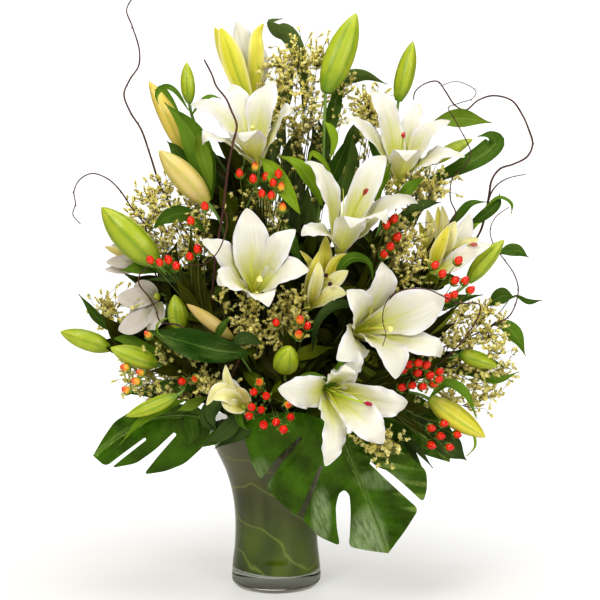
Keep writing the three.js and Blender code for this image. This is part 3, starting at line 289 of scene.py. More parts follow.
# Each monstera leaf: the slot of its stalk, how far in front its crown stands and how much its sides fall
# back, the points of its stalk, its midrib, and the two sides of its outline from the stalk to the tip,
# with the slots between the lobes.
MONSTERA = {
    "monstera_front": {"slot": [4, 300], "crown": 156, "fall": 0.0016, "stalk": [[66, 282, 100],
        [92, 258, 148]], "midrib": [[99, 226], [114, 189], [129, 155], [149, 102], [170, 46]],
        "right": [[128, 236], [160, 220], [200, 196], [227, 174], [229, 148], [223, 124], [200, 146],
         [172, 170], [143, 188], [141, 184], [168, 158], [196, 132], [216, 114], [195, 80]],
        "left": [[84, 248], [40, 262], [-10, 262], [-51, 246], [-46, 214], [-38, 186], [-24, 158],
         [0, 192], [36, 226], [40, 222], [8, 184], [-16, 148], [6, 124], [32, 103], [48, 140], [66, 182],
         [71, 180], [56, 138], [40, 97], [64, 72], [97, 57], [92, 84], [90, 118], [95, 138], [103, 144],
         [111, 136], [113, 112], [112, 80], [110, 56], [140, 50]]},
    "monstera_left": {"slot": [4, 200], "crown": 78, "fall": 0.0012, "stalk": [[-78, 268, 40],
        [-90, 262, 72]], "midrib": [[-96, 252], [-140, 258], [-190, 252], [-230, 232], [-277, 196]],
        "right": [[-120, 272], [-170, 277], [-215, 266], [-244, 248], [-262, 222]],
        "left": [[-100, 228], [-110, 210], [-138, 184], [-168, 172], [-201, 167], [-178, 196],
         [-150, 228], [-154, 232], [-184, 204], [-212, 184], [-250, 177], [-224, 198], [-196, 220],
         [-198, 224], [-228, 202], [-258, 179]]},
    "monstera_back": {"slot": [4, 60], "crown": -96, "fall": -0.0012, "stalk": [[72, 282, -76],
        [92, 270, -92]], "midrib": [[100, 262], [140, 262], [190, 250], [232, 226], [262, 186]],
        "right": [[112, 236], [124, 208], [150, 180], [186, 166], [174, 196], [160, 230], [166, 230],
         [186, 200], [226, 164], [214, 196], [202, 222], [208, 220], [222, 198]],
        "left": [[110, 288], [150, 302], [200, 296], [246, 268], [270, 226]]},
}

# Each leaf that shows plainly: its finish, its width, how far it is turned edge-on, the places of its
# midrib, and where along it the blade starts, if not at its foot.
SHOWN_LEAVES = {
    "foliage_left": [
        ["broad", 24, 0.3, [[-106, 534, 20], [-136, 561, 30], [-165, 555, 36], [-186, 537, 30]]],
        ["lily", 27, -0.2, [[-120, 459, 10], [-174, 483, 20], [-207, 480, 26], [-234, 476, 20]]],
        ["strap", 15, 0.2, [[-106, 456, 60], [-144, 465, 70], [-195, 462, 66]]],
        ["broad", 15, 0.4, [[-189, 375, 0], [-237, 387, 10], [-267, 405, 14], [-282, 424, 12],
         [-296, 441, 10]]],
        ["lily", 21, 0.1, [[-156, 348, 40], [-195, 357, 46], [-225, 372, 44], [-249, 374, 40]]],
        ["broad", 18, 0, [[-114, 294, 60], [-159, 303, 64], [-192, 297, 60]]],
    ],
    "lily_stem_low_left": [
        ["olive", 16, 0.3, [[-106, 285, 80], [-129, 273, 90], [-150, 264, 92]]],
        ["light", 15, 0.15, [[-135, 282, 86], [-168, 270, 94], [-204, 249, 98], [-237, 212, 92]]],
        ["broad", 22, 0.2, [[-120, 276, 70], [-129, 252, 78], [-126, 228, 80], [-135, 210, 76]]],
    ],
    "lily_stem_left_high": [
        ["lily", 42, 0.2, [[-96, 582, 20], [-106, 634, 26], [-129, 687, 20], [-165, 726, 10]]],
        ["olive", 24, -0.2, [[-96, 597, 40], [-105, 634, 50], [-114, 664, 50], [-116, 681, 44]]],
        ["broad", 20, 0.3, [[-105, 597, 0], [-129, 630, 6], [-150, 657, 6], [-162, 669, 0]]],
        ["lily", 9, 0.6, [[-141, 705, 30], [-156, 732, 34], [-170, 747, 36], [-177, 736, 40],
         [-174, 723, 44]]],
        ["lily", 8, 0.5, [[-129, 714, 30], [-150, 744, 36], [-165, 750, 34], [-180, 744, 30]]],
        ["lily", 9, 0.4, [[-126, 705, 20], [-111, 726, 26], [-96, 735, 26], [-81, 732, 20]]],
    ],
    "lily_stem_middle": [
        ["light", 27, 0.2, [[36, 561, 70], [14, 597, 76], [-9, 630, 74], [-24, 646, 66]]],
        ["light", 25, -0.3, [[69, 573, 60], [54, 606, 66], [30, 636, 66], [3, 648, 58]]],
        ["light", 13, 0, [[81, 642, 40], [87, 672, 44], [80, 690, 44], [70, 699, 40]]],
        ["light", 9, 0.5, [[84, 618, 44], [69, 642, 52], [54, 651, 52], [48, 630, 56]]],
        ["lily", 17, 0.3, [[102, 432, 70], [96, 477, 84], [114, 495, 90], [138, 489, 92],
         [147, 456, 90]]],
        ["broad", 22, 0, [[36, 489, 40], [18, 528, 46], [3, 558, 40]]],
    ],
    "lily_stem_right_high": [
        ["light", 20, 0.1, [[153, 573, 60], [150, 597, 66], [162, 621, 66], [172, 636, 60]]],
        ["lily", 19, 0.2, [[180, 576, 40], [192, 591, 50], [207, 606, 50], [222, 615, 44]]],
    ],
    "foliage_right": [
        ["olive", 29, 0.1, [[192, 657, -10], [213, 690, -10], [246, 700, -6], [279, 702, 0],
         [321, 696, 4]], 0.42],
        ["broad", 33, 0.2, [[192, 576, -24], [231, 609, -14], [276, 630, 0], [312, 651, 6], [327, 668, 8],
         [318, 678, 10], [300, 676, 12]], 0.08],
        ["broad", 15, 0.3, [[246, 528, 10], [273, 558, 16], [291, 576, 20], [315, 579, 20]]],
        ["broad", 17, 0.1, [[276, 534, 0], [306, 555, 10], [330, 576, 16], [334, 591, 12]]],
        ["lily", 8, 0.5, [[306, 564, 10], [333, 585, 20], [351, 576, 24], [352, 561, 22]]],
        ["strap", 16, 0.1, [[180, 543, 40], [204, 567, 50], [228, 576, 50], [246, 578, 44]]],
        ["light", 13, 0.2, [[270, 516, 16], [288, 537, 20], [306, 549, 20]]],
    ],
    "foliage_low_right": [
        ["broad", 21, 0.2, [[315, 489, 10], [339, 504, 12], [360, 506, 12], [378, 496, 10]], 0.25],
        ["broad", 25, 0, [[291, 402, 10], [318, 423, 16], [339, 438, 18], [358, 436, 16]], 0.35],
        ["broad", 10, 0.3, [[336, 414, 16], [357, 438, 16], [378, 429, 16], [399, 432, 14]], 0.3],
        ["lily", 25, 0.2, [[306, 387, 10], [336, 396, 20], [360, 378, 24], [375, 348, 20]], 0.2],
        ["lily", 17, 0.2, [[246, 324, 20], [291, 324, 30], [333, 312, 34], [366, 324, 30]]],
        ["lily", 15, -0.2, [[264, 354, 30], [300, 348, 36], [354, 327, 30]]],
    ],
    "lily_stem_low_right": [
        ["lily", 17, 0.3, [[231, 285, 90], [258, 306, 100], [285, 291, 104], [303, 252, 100]]],
        ["strap", 36, 0.1, [[216, 252, 60], [243, 228, 70], [270, 204, 70], [288, 189, 66]]],
        ["strap", 10, 0.2, [[195, 228, 60], [213, 207, 66], [237, 177, 60]]],
        ["strap", 10, 0.3, [[189, 222, 40], [204, 204, 50], [216, 180, 50]]],
        ["light", 5, 0.5, [[279, 237, 90], [297, 228, 94], [300, 210, 94], [288, 195, 90]]],
    ],
    "lily_stem_low": [
        ["lily", 17, 0.1, [[69, 294, 120], [87, 312, 130], [98, 333, 130], [93, 351, 124]]],
        ["lily", 10, 0.2, [[81, 312, 150], [51, 318, 156], [18, 306, 150]]],
        ["strap", 17, 0.3, [[54, 354, 90], [63, 399, 104], [87, 423, 108], [114, 423, 104],
         [123, 405, 100]]],
    ],
    "foliage_front": [
        ["wet", 44, 0.1, [[-39, 351, 112], [-92, 357, 132], [-147, 372, 136], [-195, 387, 124]]],
        ["broad", 13, 0.1, [[-93, 372, 118], [-81, 390, 124], [-70, 408, 120]]],
        ["strap", 19, 0.4, [[-21, 366, 110], [-48, 375, 120], [-75, 360, 116]]],
        ["light", 5, 0.6, [[-141, 378, 124], [-159, 372, 132], [-177, 381, 130], [-177, 396, 126],
         [-159, 405, 122], [-141, 399, 118]]],
        ["strap", 24, 0.2, [[-39, 279, 118], [-60, 252, 126], [-84, 228, 126], [-111, 213, 118]]],
        ["strap", 24, -0.4, [[-54, 291, 110], [-84, 279, 122], [-98, 258, 124], [-90, 234, 120]]],
        ["strap", 30, 0.1, [[-21, 267, 110], [-45, 246, 122], [-63, 228, 120], [-93, 207, 108]]],
        ["lily", 14, 0.5, [[-57, 285, 128], [-60, 267, 136], [-54, 246, 136], [-42, 234, 130]]],
        ["strap", 22, 0.3, [[-75, 285, 112], [-96, 276, 118], [-104, 255, 118], [-93, 240, 116],
         [-81, 252, 118]]],
        ["broad", 18, 0.2, [[-66, 252, 116], [-81, 234, 120], [-99, 219, 118], [-120, 207, 110]]],
    ],
    "foliage_top": [
        ["strap", 30, 0.2, [[39, 687, -70], [42, 747, -76], [34, 795, -80], [16, 826, -80], [0, 832, -76],
         [-8, 844, -72], [10, 849, -70]], 0.05],
        ["strap", 30, -0.2, [[14, 657, -60], [3, 702, -66], [15, 747, -70], [30, 792, -74]]],
        ["strap", 34, 0.2, [[51, 597, -50], [60, 642, -56], [69, 672, -60], [63, 702, -60]]],
        ["strap", 24, 0.3, [[-21, 597, -50], [-12, 642, -54], [0, 663, -54], [15, 675, -50]]],
        ["broad", 22, 0.1, [[81, 702, -70], [96, 756, -76], [129, 766, -76], [165, 753, -70]]],
        ["strap", 40, 0.1, [[63, 560, -60], [66, 604, -66], [63, 650, -66], [54, 696, -60]]],
        ["strap", 40, -0.2, [[39, 567, -60], [30, 612, -66], [27, 657, -70], [36, 696, -60]]],
        ["broad", 36, 0.2, [[93, 574, -60], [102, 612, -60], [111, 645, -60], [114, 681, -52]]],
        ["broad", 36, 0.2, [[-12, 567, -60], [-9, 604, -64], [-6, 634, -64], [-9, 663, -56]]],
        ["broad", 26, 0.1, [[96, 642, -66], [117, 678, -66], [141, 699, -64], [156, 726, -58]]],
        ["strap", 38, 0.1, [[24, 507, -50], [21, 544, -56], [24, 582, -60], [33, 618, -56]]],
        ["broad", 34, -0.1, [[51, 507, -46], [48, 540, -52], [45, 574, -56], [48, 603, -54]]],
        ["broad", 34, -0.1, [[-21, 507, -50], [-27, 540, -56], [-36, 567, -60], [-48, 588, -56]]],
        ["strap", 40, 0.1, [[-57, 522, -50], [-66, 560, -60], [-72, 597, -60], [-75, 642, -50]]],
    ],
}

# Each petal that shows plainly: its finish, its width, how far it is hollowed, where along it it is
# broadest, and the places of its midrib.
SHOWN_PETALS = {
    "lily_top": [
        ["outer", 31, -0.22, 0.5, [[-40, 730, -30], [-57, 768, -20], [-69, 804, -16], [-82, 836, -16]]],
        ["yellow", 26, 0.2, 0.5, [[-42, 730, -44], [-60, 768, -46], [-76, 804, -46], [-90, 836, -44]]],
        ["white", 36, 0.22, 0.6, [[-39, 730, -50], [-39, 771, -56], [-46, 810, -62], [-58, 844, -66]]],
        ["yellow", 24, 0.25, 0.4, [[-38, 730, -44], [-30, 768, -40], [-28, 804, -40], [-27, 825, -42],
         [-18, 842, -44]]],
        ["white", 30, 0.22, 0.5, [[-39, 730, -52], [-27, 765, -58], [-26, 795, -62], [-33, 816, -66]]],
        ["white", 32, 0.2, 0.5, [[-40, 730, -48], [-54, 768, -60], [-60, 801, -68], [-66, 822, -70]]],
    ],
    "lily_half_open": [
        ["yellow", 25, 0.25, 0.55, [[51, 423, 58], [64, 453, 62], [72, 489, 66], [75, 528, 66]]],
        ["cream", 19, 0.3, 0.5, [[52, 423, 66], [58, 447, 90], [63, 468, 98], [64, 489, 98]]],
        ["yellow", 15, 0.3, 0.45, [[48, 423, 62], [50, 450, 80], [57, 480, 84], [66, 507, 80]]],
        ["yellow", 19, 0.3, 0.45, [[54, 423, 60], [78, 459, 70], [92, 490, 78], [116, 501, 84]]],
        ["cream", 21, 0.3, 0.55, [[54, 424, 66], [75, 447, 88], [93, 464, 96], [108, 476, 98]]],
        ["cream", 21, -0.25, 0.55, [[51, 423, 66], [69, 434, 96], [88, 444, 106], [105, 441, 108]]],
        ["yellow", 12, 0.3, 0.45, [[46, 423, 58], [52, 456, 64], [52, 486, 68], [36, 506, 72]]],
    ],
    "lily_far_right": [
        ["outer", 14, -0.25, 0.45, [[236, 476, 32], [228, 501, 34], [222, 525, 34], [214, 549, 32]]],
        ["cream", 18, 0.3, 0.5, [[236, 476, 32], [231, 510, 30], [231, 540, 28], [226, 567, 24]]],
        ["yellow", 15, 0.3, 0.5, [[237, 476, 30], [242, 510, 20], [243, 540, 14], [242, 572, 10]]],
        ["cream", 17, 0.3, 0.5, [[237, 477, 30], [248, 513, 18], [252, 543, 12], [248, 573, 8]]],
        ["cream", 27, 0.35, 0.5, [[237, 477, 40], [246, 504, 54], [258, 528, 60], [268, 550, 60]]],
        ["yellow", 20, 0.35, 0.5, [[236, 476, 40], [240, 498, 60], [248, 519, 68], [258, 543, 70]]],
        ["white", 30, 0.3, 0.5, [[238, 477, 36], [261, 504, 34], [279, 531, 30], [290, 561, 24]]],
        ["white", 27, 0.3, 0.5, [[237, 474, 44], [264, 486, 66], [291, 504, 76], [322, 516, 78]]],
        ["cream", 26, 0.3, 0.5, [[238, 476, 36], [264, 498, 44], [282, 513, 48], [303, 524, 50]]],
    ],
    "lily_hidden_left": [
        ["shaded", 30, 0.15, 0.62, [[-177, 435, 14], [-195, 436, 30], [-216, 434, 36], [-238, 436, 36]]],
        ["shaded", 30, 0.15, 0.6, [[-177, 426, 16], [-196, 408, 44], [-216, 394, 54], [-237, 387, 56]]],
        ["shaded", 30, 0.2, 0.6, [[-177, 429, 14], [-192, 423, 30], [-207, 412, 36], [-220, 406, 34]]],
        ["shaded", 26, 0.2, 0.55, [[-177, 435, 12], [-189, 444, 20], [-201, 450, 24], [-213, 453, 24]]],
        ["shaded", 22, 0.2, 0.55, [[-174, 429, 14], [-177, 411, 40], [-183, 399, 50], [-192, 384, 52]]],
    ],
    "lily_small_low": [
        ["cream", 14, 0.25, 0.45, [[-50, 270, 118], [-66, 294, 128], [-74, 315, 132], [-76, 334, 130]]],
        ["cream", 19, -0.3, 0.45, [[-50, 273, 122], [-69, 292, 150], [-88, 297, 160], [-105, 273, 156]]],
        ["cream", 20, 0.25, 0.45, [[-50, 270, 122], [-66, 284, 152], [-81, 288, 162], [-96, 282, 162]]],
        ["white", 14, 0.3, 0.45, [[-50, 270, 118], [-54, 285, 126], [-63, 303, 128], [-69, 314, 124]]],
        ["straw", 16, -0.2, 0.5, [[-45, 267, 118], [-46, 279, 134], [-52, 291, 140], [-58, 300, 138]]],
        ["cream", 20, 0.3, 0.45, [[-50, 268, 122], [-60, 270, 148], [-72, 274, 156], [-82, 285, 156]]],
    ],
    "lily_stem_left": [
        ["straw", 15, -0.2, 0.5, [[-195, 489, -8], [-216, 498, -2], [-234, 504, 0], [-256, 512, 0]]],
        ["shaded", 20, 0.2, 0.55, [[-195, 488, -8], [-216, 489, 4], [-234, 489, 8], [-254, 489, 10]]],
        ["shaded", 16, 0.2, 0.5, [[-195, 484, -8], [-216, 480, -4], [-234, 478, -2], [-256, 478, 0]]],
        ["shaded", 18, 0.2, 0.5, [[-195, 492, -8], [-213, 501, -14], [-228, 508, -16], [-246, 514, -16]]],
    ],
}

# Anthers that show plainly.
SHOWN_ANTHERS = {"lily_half_open": [[75, 469, 106], [81, 456, 112]]}


# ---- places and lines ----


def at(place):
    """A place as seen from the front, as a place in the bouquet."""
    across, up, near = place[:3]
    draw_in = 1 + near / EYE.y
    return Vector((EYE.x + (across - EYE.x) * draw_in, -near, EYE.z + (up - EYE.z) * draw_in))


def slot_point(slot, height):
    """A place in a stem's slot, at that height in the vase."""
    ring, degrees = slot
    rise = (height - FLOOR_THICKNESS) / (VASE_HEIGHT - FLOOR_THICKNESS)
    radius = RING_ON_FLOOR[ring] + (RING_AT_RIM[ring] - RING_ON_FLOOR[ring]) * rise
    turn = math.radians(degrees)
    return Vector((radius * math.cos(turn), radius * math.sin(turn), height))


class Line:
    """A smooth line through places, which leaves each place towards the next."""

    def __init__(self, places):
        self.places = [Vector(place) for place in places]

    def place(self, t):
        spans = len(self.places) - 1
        span = min(int(t * spans), spans - 1)
        share = t * spans - span
        p1, p2 = self.places[span], self.places[span + 1]
        p0 = self.places[span - 1] if span > 0 else 2 * p1 - p2
        p3 = self.places[span + 2] if span + 2 <= spans else 2 * p2 - p1
        d0, d1, d2 = (max((b - a).length, 1e-6) ** 0.5 for a, b in ((p0, p1), (p1, p2), (p2, p3)))
        leave = ((p1 - p0) / d0 - (p2 - p0) / (d0 + d1) + (p2 - p1) / d1) * d1
        arrive = ((p2 - p1) / d1 - (p3 - p1) / (d1 + d2) + (p3 - p2) / d2) * d1
        s2, s3 = share ** 2, share ** 3
        return (p1 * (2 * s3 - 3 * s2 + 1) + leave * (s3 - 2 * s2 + share)
                + p2 * (3 * s2 - 2 * s3) + arrive * (s3 - s2))

    def heading(self, t):
        low, high = max(t - 0.002, 0), min(t + 0.002, 1)
        return (self.place(high) - self.place(low)).normalized()

    def at_height(self, height):
        """How far along the line it first stands that high, or near its end where it never does."""
        for step in range(401):
            if self.place(step / 400).z >= height:
                return step / 400
        return 0.98

    def course(self, steps):
        return np.array([self.place(i / steps) for i in range(steps + 1)])


def stem_line(slot, places):
    """A stem from its slot on the vase's floor, over the rim, through its own places."""
    in_vase = [slot_point(slot, height) for height in (STEM_FOOT, 100, 200, VASE_HEIGHT)]
    return Line(in_vase + [at(place) for place in places])


def bezier(places, steps):
    """Places on a quadratic or cubic curve, as rows: at so many even steps, or at the given ones."""
    t = (np.linspace(0, 1, steps) if isinstance(steps, int) else steps)[:, None]
    p = [np.array(place)[None, :] for place in places]
    while len(p) > 1:
        p = [a * (1 - t) + b * t for a, b in zip(p, p[1:])]
    return p[0]


def unit(rows):
    return rows / np.maximum(np.linalg.norm(rows, axis=-1, keepdims=True), 1e-9)


def facing_of(grid):
    """The way each point of a grid faces."""
    return unit(np.cross(np.gradient(grid, axis=1), np.gradient(grid, axis=0)))


def seed_of(name):
    return sum(map(ord, name))


def draws(name):
    """Random draws that are a piece's own and the same in every run."""
    return np.random.default_rng(seed_of(name))


# ---- a finished piece: gathered in millimetres, made in metres ----


def new_object(name, data):
    made = bpy.data.objects.new(name, data)
    bpy.context.scene.collection.objects.link(made)
    return made


class Piece:
    """One piece of the bouquet, gathered part by part. Each part has a finish, a tone and a side."""

    def __init__(self, name):
        self.name = name
        self.points, self.faces, self.uvs, self.finish_of_face = [], [], [], []
        self.tones, self.backs, self.finishes = [], [], []
        self.count = 0

    def add(self, part, finish, tone=0.5):
        points, faces, uvs, backs = part
        if finish not in self.finishes:
            self.finishes.append(finish)
        for face_rows, uv_rows in zip(faces, uvs):
            self.faces += (np.asarray(face_rows) + self.count).tolist()
            self.uvs.append(np.asarray(uv_rows, float).reshape(-1, 2))
            self.finish_of_face += [self.finishes.index(finish)] * len(face_rows)
        self.points.append(points)
        self.tones.append(np.full(len(points), tone))
        self.backs.append(np.full(len(points), backs) if np.isscalar(backs) else backs)
        self.count += len(points)

    def mesh(self):
        mesh = bpy.data.meshes.new(self.name)
        mesh.from_pydata((np.concatenate(self.points) * MM).tolist(), [], self.faces)
        uv_map = mesh.uv_layers.new(name="UVMap")
        uv_map.data.foreach_set("uv", np.concatenate(self.uvs).astype(np.float32).ravel())
        mesh.polygons.foreach_set("use_smooth", [True] * len(mesh.polygons))
        return mesh

    def build(self, slot, *nodes):
        mesh = self.mesh()
        for name, values in (("tone", self.tones), ("back", self.backs)):
            attribute = mesh.attributes.new(name, "FLOAT", "POINT")
            attribute.data.foreach_set("value", np.concatenate(values).astype(np.float32))
        for finish in self.finishes:
            mesh.materials.append(finish)
        mesh.polygons.foreach_set("material_index", self.finish_of_face)
        mesh.set_sharp_from_angle(angle=math.radians(55))
        settle(new_object(self.name, mesh), slot, *nodes)


def settle(piece, slot, *nodes):
    """The finished piece rides with the vase and stands for its solids, which it hides. Its slot is not
    used.
    """
    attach(piece, "root")
    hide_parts(*nodes)


def grid_faces(rows, columns, wrap=False):
    """The faces of a grid of rows x columns points and the uv of their corners."""
    across = columns if wrap else columns - 1
    i, j = (index.ravel() for index in np.meshgrid(range(rows - 1), range(across), indexing="ij"))
    after = (j + 1) % columns
    faces = np.stack([i * columns + j, i * columns + after, (i + 1) * columns + after,
                      (i + 1) * columns + j], axis=1)
    u0, u1, v0, v1 = j / across, (j + 1) / across, i / (rows - 1), (i + 1) / (rows - 1)
    uvs = np.stack([u0, v0, u1, v0, u1, v1, u0, v1], axis=1).reshape(-1, 4, 2)
    return faces, uvs


def tube(course, radii, sides, ribs=None):
    """A round stalk along a course of places, with closed ends. ribs shapes its section by turn."""
    course = np.asarray(course, float)
    radii = np.broadcast_to(np.asarray(radii, float), len(course))
    headings = unit(np.gradient(course, axis=0))
    across = np.empty_like(course)
    side = np.array([0.31, -0.87, 0.38])
    for i, heading in enumerate(headings):
        side = unit(side - heading * side.dot(heading))
        across[i] = side
    over = np.cross(headings, across)
    turn = 2 * math.pi * np.arange(sides) / sides
    section = np.ones(sides) if ribs is None else ribs(turn)
    ring = (across[:, None] * (section * np.cos(turn))[None, :, None]
            + over[:, None] * (section * np.sin(turn))[None, :, None])
    points = (course[:, None] + ring * radii[:, None, None]).reshape(-1, 3)
    faces, uvs = grid_faces(len(course), sides, wrap=True)
    foot = list(range(sides))[::-1]
    top = [(len(course) - 1) * sides + k for k in range(sides)]
    caps_uv = [[[0, 0]] * sides, [[0, 1]] * sides]
    return points, [faces, [foot, top]], [uvs, caps_uv], 0.0


def curved(places, foot_radius, end_radius, steps, sides):
    """A thin stalk or thread along a curve, from its radius at the foot to that at its end."""
    return tube(bezier(places, steps), np.linspace(foot_radius, end_radius, steps), sides)


def begin(name, kind, shape, radius, sides, look, steps=50):
    """The draws of a spray or stem, its line, and its piece with the stem itself in it."""
    line = stem_line(shape["slot"], shape["points"])
    if "end" in shape:
        line.places += [under_bloom(BLOOMS[shape["end"]], 20), under_bloom(BLOOMS[shape["end"]])]
    piece = Piece(name + kind)
    radii = radius * (1 - TAPER * np.linspace(0, 1, steps))
    piece.add(tube(line.course(steps - 1), radii, sides), look)
    return draws(name), line, piece


def blade(grid, thickness):
    """A thin leaf or petal on a grid of points: front and back faces closed round the edge."""
    rows, columns = grid.shape[:2]
    normal = facing_of(grid)
    points = np.concatenate([(grid + normal * thickness / 2).reshape(-1, 3),
                             (grid - normal * thickness / 2).reshape(-1, 3)])
    front, uvs = grid_faces(rows, columns)
    under = rows * columns
    edge = ([i * columns for i in range(rows - 1, -1, -1)] + list(range(1, columns))
            + [i * columns + columns - 1 for i in range(1, rows)]
            + [(rows - 1) * columns + j for j in range(columns - 2, 0, -1)])
    sides = list(zip(edge, edge[1:] + edge[:1]))
    rim = [[b, a, a + under, b + under] for a, b in sides]
    place = {k: [(k % columns) / (columns - 1), (k // columns) / (rows - 1)] for k in edge}
    rim_uvs = [[place[b], place[a], place[a], place[b]] for a, b in sides]
    backs = np.concatenate([np.zeros(under), np.ones(under)])
    return points, [front, front[:, ::-1] + under, rim], [uvs, uvs[:, ::-1], rim_uvs], backs


# ---- finishes ----

# The shine on leaves takes up some of their green.
LEAF_SHINE = (0.9, 1.0, 0.35)


class Shade:
    """A value or colour that the nodes of a finish work out. Sums on it make further nodes."""

    def __init__(self, finish, socket):
        self.finish, self.socket = finish, socket

    def sum(self, operation, *others):
        return self.finish.node("ShaderNodeMath", self, *others, operation=operation)

    def __add__(self, other):
        return self.sum("ADD", other)

    def __sub__(self, other):
        return self.sum("SUBTRACT", other)

    def __mul__(self, other):
        return self.sum("MULTIPLY", other)

    def __truediv__(self, other):
        return self.sum("DIVIDE", other)

    def __abs__(self):
        return self.sum("ABSOLUTE")

    def ease(self, low, high, to_low=0.0, to_high=1.0):
        """Eases from one value at low to the other at high."""
        return self.finish.node("ShaderNodeMapRange", self, low, high, to_low, to_high,
                                interpolation_type="SMOOTHSTEP")


class Finish:
    """A finish whose colour, gloss and relief come from nodes around one surface shader.
    Where it is soft: how much light enters it, how deep in metres, and how far each colour goes."""

    def __init__(self, name, soft=(), **sockets):
        self.material = bpy.data.materials.new(name)
        self.material.use_nodes = True
        self.tree = self.material.node_tree
        self.surface = self.tree.nodes["Principled BSDF"]
        self.set(**dict(zip(("Subsurface_Weight", "Subsurface_Scale", "Subsurface_Radius"), soft)))
        self.set(**sockets)

    def set(self, **sockets):
        for name, value in sockets.items():
            self.feed(self.surface.inputs[name.replace("_", " ")], value)

    def feed(self, socket, value):
        if isinstance(value, Shade):
            self.tree.links.new(value.socket, socket)
        else:
            socket.default_value = (*value, 1) if socket.type == "RGBA" else value

    def node(self, kind, *values, out=0, **settings):
        node = self.tree.nodes.new(kind)
        for name, value in settings.items():
            setattr(node, name, value)
        for socket, value in zip(node.inputs, values):
            if value is not None:
                self.feed(socket, value)
        return Shade(self, node.outputs[out])

    def mix(self, share, under, over, blend="MIX"):
        node = self.tree.nodes.new("ShaderNodeMix")
        node.data_type = "RGBA"
        node.blend_type = blend
        for index, value in ((0, share), (6, under), (7, over)):
            self.feed(node.inputs[index], value)
        return Shade(self, node.outputs[2])

    def ramp(self, value, *stops):
        ramp = self.node("ShaderNodeValToRGB", value)
        elements = ramp.socket.node.color_ramp.elements
        elements.remove(elements[1])
        elements[0].position = stops[0][0]
        elements[0].color = (*stops[0][1], 1)
        for place, colour in stops[1:]:
            elements.new(place).color = (*colour, 1)
        return ramp

    def noise(self, where, scale, detail):
        return self.node("ShaderNodeTexNoise", where, None, scale, detail)

    def streaks(self, where, across, along, detail, over=1):
        """Noise drawn out along a piece."""
        drawn_out = self.node("ShaderNodeMapping", where, None, None, (across, along, over))
        return self.noise(drawn_out, 1.0, detail)

    def split(self, where):
        node = self.tree.nodes.new("ShaderNodeSeparateXYZ")
        self.feed(node.inputs[0], where)
        return [Shade(self, socket) for socket in node.outputs]

    def uv(self):
        """The piece's own map, and on it the place across and along a leaf, petal or stalk."""
        where = self.node("ShaderNodeUVMap", uv_map="UVMap")
        return [where] + self.split(where)[:2]

    def given(self, name):
        return self.node("ShaderNodeAttribute", attribute_name=name, out=2)

    def where(self):
        return self.node("ShaderNodeTexCoord", out=3)

    def relief(self, height, distance, strength):
        bump = self.node("ShaderNodeBump")
        for name, value in (("Strength", strength), ("Distance", distance), ("Height", height)):
            self.feed(bump.socket.node.inputs[name], value)
        self.set(Normal=bump)

    def ray(self, kind):
        return self.node("ShaderNodeLightPath", out=kind)

    def show(self, share, other):
        """Ends the finish in a mix of its surface with another shader."""
        surface = Shade(self, self.surface.outputs[0])
        mixed = self.node("ShaderNodeMixShader", share, surface, other)
        self.feed(self.tree.nodes["Material Output"].inputs[0], mixed)


def on_rib(across, width):
    """1 on the midrib, falling to 0 at that share of the width from it."""
    return abs(across - 0.5).ease(0.0, width, 1.0, 0.0)


def petal_finish(name, throat, body, edge, rib, throat_reach, rib_reach=0.75):
    finish = Finish(name, soft=(0.35, 0.004, (1.0, 0.9, 0.55)), Sheen_Weight=0.15, Sheen_Roughness=0.4)
    where, across, along = finish.uv()
    wander = finish.noise(finish.where(), 30.0, 3.0)
    reach = along + (wander - 0.5) * 0.25
    colour = finish.mix(reach.ease(0.02, throat_reach), throat, body)
    colour = finish.mix(abs(across - 0.5).ease(0.28, 0.46), colour, finish.mix(0.75, colour, edge))
    for width, start, share in ((0.05, 0.05, 0.9), (0.2, 0.1, 0.45)):
        colour = finish.mix(on_rib(across, width) * along.ease(start, rib_reach, share, 0.0), colour, rib)
    fine = finish.streaks(where, 46, 2.2, 2.0)
    shade = fine.ease(0.35, 0.7, 0.9, 1.0) * finish.given("tone").ease(0, 1, 0.94, 1.0)
    tint = finish.node("ShaderNodeCombineColor", shade, shade, shade * 0.985)
    finish.set(Base_Color=finish.mix(1.0, colour, tint, "MULTIPLY"),
               Roughness=wander.ease(0.3, 0.7, 0.36, 0.5))
    finish.relief(fine, 0.0005, 0.5)
    return finish.material


def leaf_finish(name, deep, bright, rib, gloss):
    finish = Finish(name, soft=(0.08, 0.002, (0.5, 1.0, 0.2)), Specular_IOR_Level=0.32,
                    Specular_Tint=LEAF_SHINE)
    where, across, _ = finish.uv()
    patches = finish.noise(finish.where(), 45.0, 4.0)
    share = finish.given("tone") * 0.7 + patches * 0.5
    colour = finish.mix(share.ease(0.2, 0.95), deep, bright)
    colour = finish.mix(on_rib(across, 0.06) * 0.6, colour, rib)
    veins = finish.streaks(where, 30.0, 1.5, 1.0)
    colour = finish.mix(veins.ease(0.4, 0.65, 0.28, 0.0), colour, deep)
    back = finish.mix(0.35, colour, (0.22, 0.3, 0.1))
    finish.set(Base_Color=finish.mix(finish.given("back"), colour, back),
               Roughness=patches.ease(0.3, 0.7, gloss - 0.06, gloss + 0.14))
    finish.relief(veins, 0.0008, 0.6)
    return finish.material


def stem_finish(name, low, high, gloss=0.45):
    finish = Finish(name, soft=(0.05, 0.002), Roughness=gloss)
    where, _, along = finish.uv()
    streaks = finish.streaks(where, 12, 9, 3.0)
    colour = finish.mix(along.ease(0.1, 0.9), low, high)
    finish.set(Base_Color=finish.mix(streaks.ease(0.35, 0.7, 0.35, 0.0), colour, [0.55 * c for c in low]))
    finish.relief(streaks, 0.0004, 0.6)
    return finish.material


